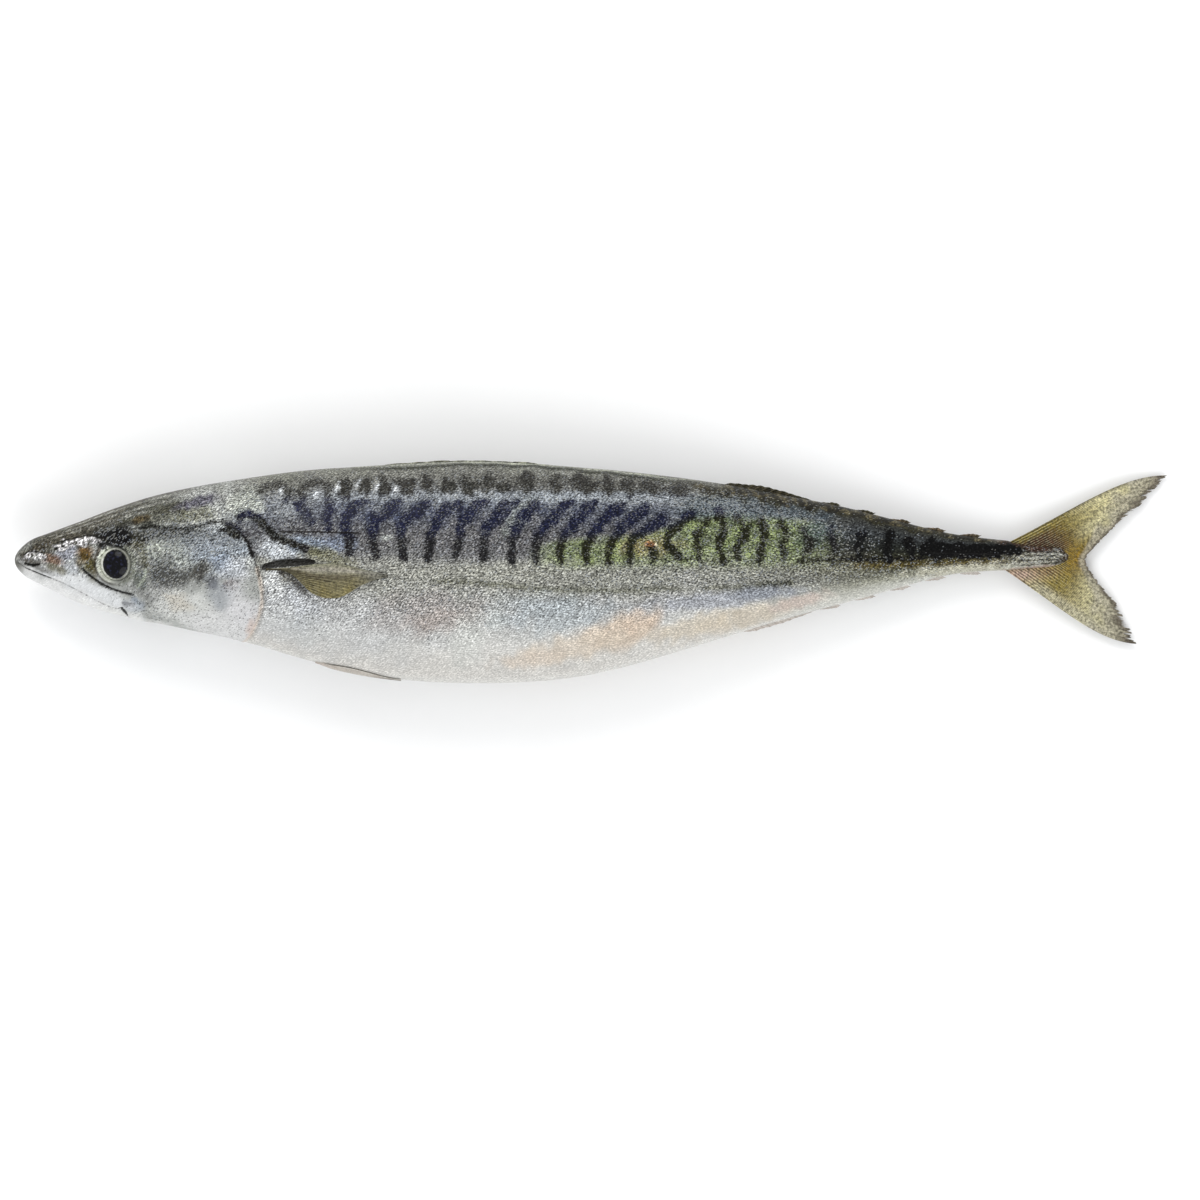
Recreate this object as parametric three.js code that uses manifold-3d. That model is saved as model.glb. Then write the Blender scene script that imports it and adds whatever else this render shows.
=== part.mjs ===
// A whole raw mackerel lying on its right flank, in millimetres.
// +X runs from snout to tail, +Y from belly to back, and +Z up from the table to the left flank.
// The fish is drawn in its own coordinates first: s is the distance behind the snout tip, h the height above
// the line from snout to tail, and z the height above the table.
import * as THREE from "three";
import { mergeVertices } from "three/addons/utils/BufferGeometryUtils.js";
import Module from "manifold-3d";

// Driving dimensions
const TOTAL_LENGTH = 350; // snout tip to the tip of the upper tail lobe
const BODY_LENGTH = 320.5; // snout tip to the end of the flesh between the tail lobes
const GAP = 0.35; // between a fin or an eye and the body
const LEFT = 1;
const RIGHT = -1;

// Body stations: s, height of the back, depth of the belly, half width
const BODY_STATIONS = [
  [0, 0, 0, 0],
  [1.5, 3.2, 3.3, 2.1],
  [5, 6.1, 6.1, 4.0],
  [11, 8.4, 9.1, 6.2],
  [20, 11.7, 13.2, 8.8],
  [30, 15.4, 16.4, 11.2],
  [42, 19.2, 18.9, 13.7],
  [56, 22.2, 21.8, 16.0],
  [70, 24.4, 24.6, 17.2],
  [87, 26.6, 29.5, 18.3],
  [105, 27.9, 34.0, 19.8],
  [122, 28.8, 36.2, 20.8],
  [140, 29.3, 36.8, 21.0],
  [158, 28.5, 36.3, 20.6],
  [174, 27.3, 34.4, 19.6],
  [190, 25.8, 30.7, 17.9],
  [206, 23.9, 26.0, 15.9],
  [222, 21.5, 21.2, 13.6],
  [238, 18.6, 16.6, 11.3],
  [254, 15.4, 12.4, 9.0],
  [270, 11.4, 8.0, 6.8],
  [284, 8.1, 4.5, 5.2],
  [296, 6.5, 3.3, 4.3],
  [308, 5.4, 3.0, 3.5],
  [320.5, 4.2, 2.2, 2.4],
];
// Height of the fish's middle plane above the table: the tail droops until its lobes almost touch
const LIFT_STATIONS = [
  [0, 14.5],
  [40, 17.4],
  [80, 19.1],
  [130, 19.7],
  [180, 18.3],
  [220, 14.8],
  [260, 10.6],
  [300, 6.4],
  [325, 3.6],
  [350, 1.3],
];
const BACK_ROUNDNESS = 2.2; // superellipse exponents of the section above and below its widest level
const BELLY_ROUNDNESS = 2.05;
const WIDEST_ABOVE_CENTRE = 0.06; // share of the depth by which the widest level lies above the section's centre
const TAIL_END_ROUNDING = 9; // length over which the flesh rounds off between the tail lobes
const BODY_RINGS = 72;
const BODY_SEGMENTS = 36;

// Right pectoral fin's bed: where the fin is pressed into the flank between the body and the table
const FIN_BED = { s: 96, h: -4.5, length: 25, height: 11, depth: 1.35 };

// Eyes
const EYE = { s: 30.6, h: -1.2, radius: 5.3, halfThickness: 3.0, sunk: 2.1 };

// Fins
const FIN_EDGE = 0.5; // thickness of a fin at its free edge
const PECTORAL = {
  start: 77,
  length: 36.5,
  upper: [-1.6, -0.2, 0.9, 0.4, -1.7, -4.7],
  lower: [-2.8, -4.6, -9.6, -11.0, -8.2, -5.7],
  thickness: 0.6,
};
const PELVIC = { start: 92, length: 25.5, nearMidline: 0.07, width: 0.3, thickness: 0.6 }; // angles in radians
const FIRST_DORSAL = { start: 99, length: 76, height: 0.9, thickness: 1.6 };
const SECOND_DORSAL = { start: 213, length: 30, height: 2.2, thickness: 1.0 };
const ANAL = { start: 219.5, length: 24, height: 1.5, thickness: 0.9 };
const FINLET = { count: 5, firstTip: 251, pitch: 10.7, length: 7.5, height: 1.3, thickness: 0.7 };
const TAIL = {
  upperBase: [303.0, 7.2],
  endBase: [321.4, 1.2],
  lowerBase: [301.0, -4.0],
  bow: 2.8, // how far the front edge of each lobe bows outwards
  baseThickness: 1.8,
};
// The tail's rear margin, from the upper tip past the fork to the lower tip
const TAIL_MARGIN = [
  [350.0, 25.8],
  [345.2, 20.6],
  [338.3, 13.6],
  [331.2, 6.6],
  [325.0, 0.3],
  [328.9, -5.2],
  [333.6, -12.0],
  [337.7, -19.0],
  [340.0, -25.2],
];

const wasm = await Module();
wasm.setup();

// A smooth curve through rows of [position, value, ...]; column picks the value.
function curveThrough(rows, column, warp = (x) => x) {
  const positions = rows.map((row) => warp(row[0]));
  const values = rows.map((row) => row[column]);
  const cubic = new THREE.CubicInterpolant(positions, values, 1, new Float64Array(1));
  return (x) => cubic.evaluate(warp(x))[0];
}

// The snout is blunt, so its stations are joined over the square root of s.
const backAt = curveThrough(BODY_STATIONS, 1, Math.sqrt);
const bellyAt = curveThrough(BODY_STATIONS, 2, Math.sqrt);
const halfWidthAt = curveThrough(BODY_STATIONS, 3, Math.sqrt);
const liftAt = curveThrough(LIFT_STATIONS, 1);

const smoothstep = THREE.MathUtils.smoothstep;

// Shrinks the section to nothing at the rear end of the flesh.
function tailEndShare(s) {
  const t = Math.max(0, (s - (BODY_LENGTH - TAIL_END_ROUNDING)) / TAIL_END_ROUNDING);
  return Math.sqrt(Math.max(0, 1 - t * t));
}

// The section at s: its centre, widest level, reach above and below that level, and half width.
function sectionAt(s) {
  const back = backAt(s);
  const belly = bellyAt(s);
  const centre = (back - belly) / 2;
  const share = tailEndShare(s);
  const depth = (back + belly) * share;
  const widest = centre + WIDEST_ABOVE_CENTRE * depth;
  return {
    widest,
    above: centre + depth / 2 - widest,
    below: widest - (centre - depth / 2),
    halfWidth: halfWidthAt(s) * share,
  };
}

// How high the flank is held off the table: on the fin's bed, or not at all.
function bedHeight(s, h) {
  const distance = Math.hypot((s - FIN_BED.s) / FIN_BED.length, (h - FIN_BED.h) / FIN_BED.height);
  return FIN_BED.depth * (1 - smoothstep(distance, 0.9, 1.25));
}

// A point of the flank at s. up is the sine and out the cosine of its angle round the section.
function skinPoint(s, up, out) {
  const { widest, above, below, halfWidth } = sectionAt(s);
  const power = 2 / (up > 0 ? BACK_ROUNDNESS : BELLY_ROUNDNESS);
  const h = widest + Math.sign(up) * Math.abs(up) ** power * (up > 0 ? above : below);
  const z = liftAt(s) + Math.sign(out) * Math.abs(out) ** power * halfWidth;
  return new THREE.Vector3(s, h, out < 0 ? Math.max(z, bedHeight(s, h)) : z);
}

// The angle round the section at which the flank reaches height h.
function angleAtHeight(s, h) {
  const { widest, above, below } = sectionAt(s);
  const rise = h - widest;
  const share = Math.min(1, Math.abs(rise) / (rise > 0 ? above : below));
  const power = (rise > 0 ? BACK_ROUNDNESS : BELLY_ROUNDNESS) / 2;
  return Math.sign(rise) * Math.asin(share ** power);
}

// A point held off the flank at distance offset, square to the skin.
function pointOffSkin(s, angle, side, offset) {
  const at = (ds, da) => skinPoint(s + ds, Math.sin(angle + da), side * Math.cos(angle + da));
  const along = at(0.5, 0).sub(at(-0.5, 0));
  const around = at(0, 0.02).sub(at(0, -0.02));
  const normal = along.cross(around).normalize().multiplyScalar(side);
  return at(0, 0).addScaledVector(normal, offset);
}

// Maps every vertex of a geometry through place, in its own position.
function reshaped(geometry, place) {
  const position = geometry.getAttribute("position");
  for (let i = 0; i < position.count; i++) {
    const moved = place(new THREE.Vector3().fromBufferAttribute(position, i));
    position.setXYZ(i, moved.x, moved.y, moved.z);
  }
  geometry.deleteAttribute("normal");
  geometry.deleteAttribute("uv");
  return geometry;
}

// A thin closed plate. place gives the point at (u, v), each 0 to 1, on face -1 or 1.
function plateGeometry(uSteps, vSteps, place, mirrored = false) {
  const block = new THREE.BoxGeometry(1, 1, 1, uSteps, vSteps, 1);
  return reshaped(block, (p) => place(mirrored ? 0.5 - p.x : 0.5 + p.x, 0.5 + p.y, Math.sign(p.z)));
}

function toSolid(geometry) {
  const merged = mergeVertices(geometry, 1e-4);
  return new wasm.Manifold(
    new wasm.Mesh({
      numProp: 3,
      vertProperties: new Float32Array(merged.attributes.position.array),
      triVerts: new Uint32Array(merged.index.array),
    }),
  );
}

function toGeometry(solid) {
  const mesh = solid.getMesh();
  const geometry = new THREE.BufferGeometry();
  geometry.setAttribute("position", new THREE.BufferAttribute(mesh.vertProperties, 3));
  geometry.setIndex(new THREE.BufferAttribute(mesh.triVerts, 1));
  return geometry;
}

// Whole body: head, jaws, gill covers, trunk and tail stem under one skin.
function trunkGeometry() {
  const sphere = new THREE.SphereGeometry(1, BODY_SEGMENTS, BODY_RINGS);
  return reshaped(sphere, (p) => {
    const radius = Math.hypot(p.x, p.z);
    const s = (BODY_LENGTH * (1 - p.y)) / 2;
    return radius < 1e-6
      ? new THREE.Vector3(s, sectionAt(s).widest, liftAt(s))
      : skinPoint(s, p.x / radius, p.z / radius);
  });
}

// An eye, or its socket when grown by the gap: a flattened ball facing out of the flank.
function eyeGeometry(side, growth = 0) {
  const angle = angleAtHeight(EYE.s, EYE.h);
  const centre = pointOffSkin(EYE.s, angle, side, -EYE.sunk);
  const outwards = pointOffSkin(EYE.s, angle, side, 1).sub(centre).normalize();
  const radius = EYE.radius + growth;
  const ball = new THREE.SphereGeometry(1, 24, 14);
  ball.rotateX(Math.PI / 2);
  ball.scale(radius, radius, EYE.halfThickness + growth);
  ball.applyQuaternion(new THREE.Quaternion().setFromUnitVectors(new THREE.Vector3(0, 0, 1), outwards));
  ball.translate(centre.x, centre.y, centre.z);
  ball.deleteAttribute("normal");
  ball.deleteAttribute("uv");
  return ball;
}

function bodyGeometry() {
  let solid = toSolid(trunkGeometry());
  for (const side of [LEFT, RIGHT]) solid = solid.subtract(toSolid(eyeGeometry(side, GAP)));
  return toGeometry(solid);
}

// A pectoral fin folded back against the flank.
function pectoralGeometry(side) {
  const steps = PECTORAL.upper.length - 1;
  const edge = (heights) => curveThrough(heights.map((h, i) => [i / steps, h]), 1);
  const upper = edge(PECTORAL.upper);
  const lower = edge(PECTORAL.lower);
  const place = (u, v, face) => {
    const s = PECTORAL.start + PECTORAL.length * u;
    const h = THREE.MathUtils.lerp(lower(u), upper(u), v);
    const offset = GAP + (PECTORAL.thickness * (1 + face)) / 2;
    return pointOffSkin(s, angleAtHeight(s, h), side, offset);
  };
  return plateGeometry(16, 6, place, side === RIGHT);
}

// A pelvic fin folded back along the belly beside its midline.
function pelvicGeometry(side) {
  const place = (u, v, face) => {
    const s = PELVIC.start + PELVIC.length * u;
    const width = PELVIC.width * (0.25 + 0.75 * Math.sin(Math.PI * Math.min(1, u * 1.15)));
    const angle = -Math.PI / 2 + PELVIC.nearMidline + width * v;
    const offset = GAP + (PELVIC.thickness * (1 + face)) / 2;
    return pointOffSkin(s, angle, side, offset);
  };
  return plateGeometry(12, 3, place, side === RIGHT);
}

// A fin on the middle line, folded back. edge is LEFT for the back and RIGHT for the belly.
function medianFinGeometry({ start, length, height, thickness }, edge, profile, steps = 14) {
  const ridgeAt = edge > 0 ? backAt : bellyAt;
  const place = (u, v, face) => {
    const s = start + length * u;
    const h = edge * (ridgeAt(s) + GAP + Math.max(0.3, height * profile(u)) * v);
    const half = THREE.MathUtils.lerp(thickness, Math.min(FIN_EDGE, thickness), v) / 2;
    return new THREE.Vector3(s, h, liftAt(s) + face * half);
  };
  return plateGeometry(steps, 1, place, edge < 0);
}

const lowRidge = (u) => Math.sin(Math.PI * u) ** 0.6;
const raisedFront = (u) => Math.sin(Math.PI * u ** 0.7) ** 0.7;
const backSweptPoint = (u) => 0.25 + 0.75 * u;

// The forked tail fin. u runs from the upper lobe's front edge to the lower one's, v from the flesh to the rear margin.
function tailGeometry() {
  const base = new THREE.SplineCurve([
    new THREE.Vector2(...TAIL.upperBase),
    new THREE.Vector2(TAIL.endBase[0] - 6, TAIL.upperBase[1] - 0.9),
    new THREE.Vector2(...TAIL.endBase),
    new THREE.Vector2(TAIL.endBase[0] - 6, TAIL.lowerBase[1] + 0.3),
    new THREE.Vector2(...TAIL.lowerBase),
  ]);
  const margin = new THREE.SplineCurve(TAIL_MARGIN.map(([s, h]) => new THREE.Vector2(s, h)));
  const place = (u, v, face) => {
    const from = base.getPoint(u);
    const to = margin.getPoint(u);
    const point = from.clone().lerp(to, v);
    const outward = new THREE.Vector2(from.y - to.y, to.x - from.x).normalize();
    point.addScaledVector(outward, TAIL.bow * (1 - 2 * u) * 4 * v * (1 - v));
    const half = THREE.MathUtils.lerp(TAIL.baseThickness, FIN_EDGE, Math.sqrt(v)) / 2;
    return new THREE.Vector3(point.x, point.y, liftAt(point.x) + face * half);
  };
  return plateGeometry(28, 8, place);
}

const material = (color, roughness, metalness = 0) =>
  new THREE.MeshStandardMaterial({ color, roughness, metalness });
const SKIN = material(0x8f969a, 0.35, 0.4);
const EYE_MATERIAL = material(0x14141c, 0.12);
const DARK_FIN = material(0x5a5a4a, 0.5);
const OLIVE_FIN = material(0x9a8f5a, 0.5);
const PALE_FIN = material(0xc9c1b4, 0.5);
const TAIL_MATERIAL = material(0x9b9450, 0.5);

const fish = new THREE.Group();

function add(name, geometry, finish) {
  const mesh = new THREE.Mesh(geometry, finish);
  mesh.name = name;
  fish.add(mesh);
}

add("body", bodyGeometry(), SKIN);
for (const [sideName, side] of [["left", LEFT], ["right", RIGHT]]) {
  add(`${sideName}_eye`, eyeGeometry(side), EYE_MATERIAL);
  add(`${sideName}_pectoral_fin`, pectoralGeometry(side), OLIVE_FIN);
  add(`${sideName}_pelvic_fin`, pelvicGeometry(side), PALE_FIN);
}
add("first_dorsal_fin", medianFinGeometry(FIRST_DORSAL, LEFT, lowRidge, 24), DARK_FIN);
add("second_dorsal_fin", medianFinGeometry(SECOND_DORSAL, LEFT, raisedFront), DARK_FIN);
add("anal_fin", medianFinGeometry(ANAL, RIGHT, raisedFront), PALE_FIN);
for (let i = 0; i < FINLET.count; i++) {
  const start = FINLET.firstTip - FINLET.length + i * FINLET.pitch;
  const finlet = { ...FINLET, start };
  add(`dorsal_finlet_${i + 1}`, medianFinGeometry(finlet, LEFT, backSweptPoint, 3), DARK_FIN);
  add(`anal_finlet_${i + 1}`, medianFinGeometry(finlet, RIGHT, backSweptPoint, 3), PALE_FIN);
}
add("tail_fin", tailGeometry(), TAIL_MATERIAL);

// The origin is under the middle of the whole fish, on the table.
fish.updateMatrixWorld(true);
const box = new THREE.Box3().setFromObject(fish);
fish.position.set(-TOTAL_LENGTH / 2, -(box.min.y + box.max.y) / 2, -box.min.z);

export default fish;
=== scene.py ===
import math

import bpy
import numpy as np
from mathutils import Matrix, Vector


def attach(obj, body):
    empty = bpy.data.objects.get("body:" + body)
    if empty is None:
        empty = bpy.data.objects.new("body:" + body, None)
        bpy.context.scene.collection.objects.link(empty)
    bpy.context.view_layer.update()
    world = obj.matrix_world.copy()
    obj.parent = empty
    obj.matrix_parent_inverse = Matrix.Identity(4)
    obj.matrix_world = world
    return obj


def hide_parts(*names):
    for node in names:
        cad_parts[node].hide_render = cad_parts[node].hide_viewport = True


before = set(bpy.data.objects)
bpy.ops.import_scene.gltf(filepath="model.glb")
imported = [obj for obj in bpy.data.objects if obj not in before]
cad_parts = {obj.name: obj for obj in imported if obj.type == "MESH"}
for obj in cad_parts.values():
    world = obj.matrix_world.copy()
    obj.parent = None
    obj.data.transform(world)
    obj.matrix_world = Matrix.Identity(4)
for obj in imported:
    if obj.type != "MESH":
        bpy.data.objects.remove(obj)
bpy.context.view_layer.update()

# The fish is drawn in its own coordinates, in millimetres: s is the distance behind the snout tip, h the
# height above the line from snout to tail, and z the height above the table. LEFT is the upper flank.
LEFT, RIGHT = 1, -1
MM = 0.001
STUDIO_LIGHT = 1.31  # light on a level surface, where 1 shows white as white


# -------------------- curves

def curve(x, y):
    """A smooth curve through points, as a function of x. Its slope at a point is that of the neighbours."""
    x, y = np.asarray(x, float), np.asarray(y, float)
    slope = np.empty_like(y)
    slope[1:-1] = (y[2:] - y[:-2]) / (x[2:] - x[:-2])
    slope[0] = 1.5 * (y[1] - y[0]) / (x[1] - x[0]) - 0.5 * slope[1]
    slope[-1] = 1.5 * (y[-1] - y[-2]) / (x[-1] - x[-2]) - 0.5 * slope[-2]

    def value(at):
        at = np.clip(np.asarray(at, float), x[0], x[-1])
        i = np.clip(np.searchsorted(x, at) - 1, 0, len(x) - 2)
        width = x[i + 1] - x[i]
        t = (at - x[i]) / width
        start = (1 + 2 * t) * (1 - t) ** 2 * y[i] + t * (1 - t) ** 2 * width * slope[i]
        end = t ** 2 * (3 - 2 * t) * y[i + 1] - t ** 2 * (1 - t) * width * slope[i + 1]
        return start + end

    return value


def smooth(low, high, value):
    """0 below low, 1 above high, and a soft rise between. high may be the smaller one."""
    t = np.clip((value - low) / (high - low), 0, 1)
    return t * t * (3 - 2 * t)


def between(value, start, full, fading, end):
    """1 from full to fading, with a soft rise from start and a soft fall to end."""
    return smooth(start, full, value) * smooth(end, fading, value)


def peak(distance, width):
    """A bell: 1 at no distance, about a third at the given width."""
    return np.exp(-(distance / width) ** 2)


def route(points, steps=8):
    """Many points along a smooth curve through a few."""
    rows = np.array(points, float)
    number = np.arange(len(rows))
    at = np.linspace(0, len(rows) - 1, (len(rows) - 1) * steps + 1)
    return np.stack([curve(number, column)(at) for column in rows.T], axis=1)


def drift(s, h, size, seed):
    """A gentle random swell between about -1 and 1, with features of the given size."""
    random = np.random.default_rng(seed)
    total = np.zeros(np.broadcast(s, h).shape)
    for _ in range(7):
        heading = random.uniform(0, 2 * math.pi)
        pitch = size * random.uniform(0.6, 1.7)
        phase = random.uniform(0, 2 * math.pi)
        total += np.sin((s * math.cos(heading) + h * math.sin(heading)) * 2 * math.pi / pitch + phase)
    return total / 3.2


def pigment(red, green, blue):
    """A shader's linear colour from how the colour looks in the studio's light, 0 to 255."""
    share = np.array([red, green, blue], float) / 255
    return np.where(share <= 0.04045, share / 12.92, ((share + 0.055) / 1.055) ** 2.4) / STUDIO_LIGHT


# -------------------- the frame

def node_points(node):
    """The vertices of a CAD node in fish coordinates."""
    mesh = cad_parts[node].data
    points = np.empty(len(mesh.vertices) * 3)
    mesh.vertices.foreach_get("co", points)
    return points.reshape(-1, 3) / MM - FISH_ORIGIN


FISH_ORIGIN = np.zeros(3)
body_points = node_points("body")
snout = body_points[body_points[:, 0].argmin()]
FISH_ORIGIN = np.array([snout[0], snout[1], 0.0])
body_points = body_points - FISH_ORIGIN
BODY_LENGTH = body_points[:, 0].max()
TOTAL_LENGTH = node_points("tail_fin")[:, 0].max()


def eye_axes(node, side):
    """Centre, outward direction and radius of an eyeball, a flattened ball."""
    points = node_points(node)
    centre = (points.min(0) + points.max(0)) / 2
    axis = np.linalg.svd(points - centre, full_matrices=False)[2][2]
    axis = axis * np.sign(axis[2] * side)
    return centre, axis, (points[:, 0].max() - points[:, 0].min()) / 2


EYES = {LEFT: eye_axes("left_eye", LEFT), RIGHT: eye_axes("right_eye", RIGHT)}


def measured_sections():
    """Rows of s, back, belly, widest level, half width and middle plane, from the rings of the CAD body."""
    rows = []
    eye_centre, _, eye_radius = EYES[LEFT]
    ring_of = np.round(body_points[:, 0], 2)
    for s in np.unique(ring_of):
        ring = body_points[ring_of == s]
        cut_by_eye = abs(s - eye_centre[0]) < eye_radius + 1
        if len(ring) < 30 or cut_by_eye:
            continue
        top, bottom, widest = ring[ring[:, 1].argmax()], ring[ring[:, 1].argmin()], ring[ring[:, 2].argmax()]
        rows.append([s, top[1], -bottom[1], widest[1], widest[2] - top[2], top[2]])
    return np.array(rows)


SECTIONS = measured_sections()


def section_curve(column, at_snout, at_end):
    """One measure of the sections over s, drawn over the root of s so that the snout comes out round."""
    x = np.concatenate([[0], np.sqrt(SECTIONS[:, 0]), [math.sqrt(BODY_LENGTH)]])
    y = np.concatenate([[at_snout], SECTIONS[:, column], [at_end]])
    values = curve(x, y)
    return lambda s: values(np.sqrt(np.maximum(s, 0)))


END_LEVEL = body_points[body_points[:, 0].argmax()]
back_at = section_curve(1, 0, END_LEVEL[1])
belly_at = section_curve(2, 0, -END_LEVEL[1])
widest_at = section_curve(3, 0, END_LEVEL[1])
half_width_at = section_curve(4, 0, 0)
lift_to_tail = curve([0, *SECTIONS[::6, 0], TOTAL_LENGTH], [snout[2], *SECTIONS[::6, 5], 1.3])
lift_at = section_curve(5, snout[2], END_LEVEL[2])

# Section shape
BACK_ROUNDNESS, BELLY_ROUNDNESS = 2.2, 2.05
FIN_BED = {"s": 96, "h": -4.5, "length": 25, "height": 11, "depth": 1.35}
TABLE_SOFTNESS = 0.5
UNDERSIDE = 6.0  # skin lower than this may rest on the table
STEM_MIDDLE = 0.9  # height of the tail stem's middle


def bed_height(s, h):
    """How high the flank is held off the table by the right pectoral fin."""
    distance = np.hypot((s - FIN_BED["s"]) / FIN_BED["length"], (h - FIN_BED["h"]) / FIN_BED["height"])
    return FIN_BED["depth"] * (1 - smooth(0.9, 1.25, distance))


def flank(s, angle):
    """Points of the skin. The angle runs from 0 on the left flank over the back to the right flank at pi."""
    up, out = np.sin(angle), np.cos(angle)
    widest = widest_at(s)
    reach = np.where(up > 0, back_at(s) - widest, widest + belly_at(s))
    power = 2 / np.where(up > 0, BACK_ROUNDNESS, BELLY_ROUNDNESS)
    h = widest + np.sign(up) * np.abs(up) ** power * np.maximum(reach, 0)
    z = lift_at(s) + np.sign(out) * np.abs(out) ** power * half_width_at(s)
    return np.stack([s + 0 * h, h, z], axis=-1)


def resting(points):
    """The same points, held up where they would sink into the table, with a soft edge to the flat."""
    s, h, z = points[..., 0], points[..., 1], points[..., 2]
    floor = bed_height(s, h)
    above = z - floor
    held = floor + (above + np.sqrt(above ** 2 + TABLE_SOFTNESS ** 2)) / 2
    return np.stack([s, h, np.where(z < UNDERSIDE, held, z)], axis=-1)


def angle_at(s, h):
    """The angle round the left flank at which the skin reaches height h."""
    rise = h - widest_at(s)
    reach = np.where(rise > 0, back_at(s) - widest_at(s), widest_at(s) + belly_at(s))
    roundness = np.where(rise > 0, BACK_ROUNDNESS, BELLY_ROUNDNESS)
    return np.sign(rise) * np.arcsin(np.clip(np.abs(rise) / reach, 0, 1) ** (roundness / 2))


def off_skin(s, angle, side, offset):
    """Points held off the flank by offset, square to the skin."""
    turned = angle if side == LEFT else math.pi - angle
    along = flank(s + 0.4, turned) - flank(s - 0.4, turned)
    around = flank(s, turned + 0.01 * side) - flank(s, turned - 0.01 * side)
    normal = np.cross(along, around) * side
    normal /= np.linalg.norm(normal, axis=-1, keepdims=True)
    return flank(s, turned) + normal * np.asarray(offset)[..., None], normal


# -------------------- pieces

def to_row(points):
    """Fish coordinates as the row's, in metres."""
    return (points + FISH_ORIGIN) * MM


def make_piece(name, points, faces, values, material, node):
    """A mesh from points in fish coordinates, riding on the fish in place of a CAD node."""
    mesh = bpy.data.meshes.new(name)
    mesh.from_pydata(to_row(points).tolist(), [], faces)
    mesh.update()
    volume = sum(p.center.dot(p.normal) * p.area for p in mesh.polygons)
    if volume < 0:
        mesh.flip_normals()
    for key, value in values.items():
        kind, field = ("FLOAT_VECTOR", "vector") if value.ndim == 2 else ("FLOAT", "value")
        mesh.attributes.new(key, kind, "POINT").data.foreach_set(field, value.astype(np.float32).ravel())
    mesh.polygons.foreach_set("use_smooth", [True] * len(mesh.polygons))
    mesh.materials.append(material)
    piece = bpy.data.objects.new(name, mesh)
    bpy.context.scene.collection.objects.link(piece)
    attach(piece, "root")
    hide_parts(node)


def grid_faces(rows, columns, wrapped=False):
    """Quads over a grid of vertices numbered along its rows. A wrapped grid closes on itself."""
    j = np.arange(columns if wrapped else columns - 1)
    i = np.arange(rows - 1)[:, None]
    a = i * columns + j
    b = i * columns + (j + 1) % columns
    return np.stack([a, b, b + columns, a + columns], axis=-1).reshape(-1, 4).tolist()


def capped(points, values):
    """A closed skin from rings of points, with one more point at each end: its points, faces and values."""
    rings, columns = points.shape[:2]
    count = rings * columns
    faces = grid_faces(rings, columns, wrapped=True)
    for j in range(columns):
        after = (j + 1) % columns
        faces.append([count, after, j])
        faces.append([count + 1, count - columns + j, count - columns + after])
    with_ends = {}
    for key, value in values.items():
        flat = value.reshape(count, -1)
        flat = np.concatenate([flat, flat[:1], flat[-1:]])
        with_ends[key] = flat if value.ndim == 3 else flat[:, 0]
    ends = [points[0].mean(axis=0), points[-1].mean(axis=0)]
    return np.concatenate([points.reshape(-1, 3), ends]), faces, with_ends


def plate(middle, normal, thickness):
    """A closed thin plate from a grid of middle points: its vertices and faces."""
    rows, columns = middle.shape[:2]
    half = normal * (thickness / 2)[..., None]
    points = np.concatenate([(middle + half).reshape(-1, 3), (middle - half).reshape(-1, 3)])
    size = rows * columns
    faces = grid_faces(rows, columns)
    faces += [[c + size for c in reversed(face)] for face in faces]
    edge = list(range(columns)) + [i * columns + columns - 1 for i in range(1, rows)]
    edge += [(rows - 1) * columns + j for j in range(columns - 2, -1, -1)]
    edge += [i * columns for i in range(rows - 2, 0, -1)]
    for a, b in zip(edge, edge[1:] + edge[:1]):
        faces.append([b, a, a + size, b + size])
    return points, faces


def doubled(value):
    """A value for each point of a plate, from one for each point of its grid."""
    flat = value.reshape(-1, 3) if value.ndim == 3 else value.reshape(-1)
    return np.concatenate([flat, flat])


# -------------------- finishes

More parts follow.
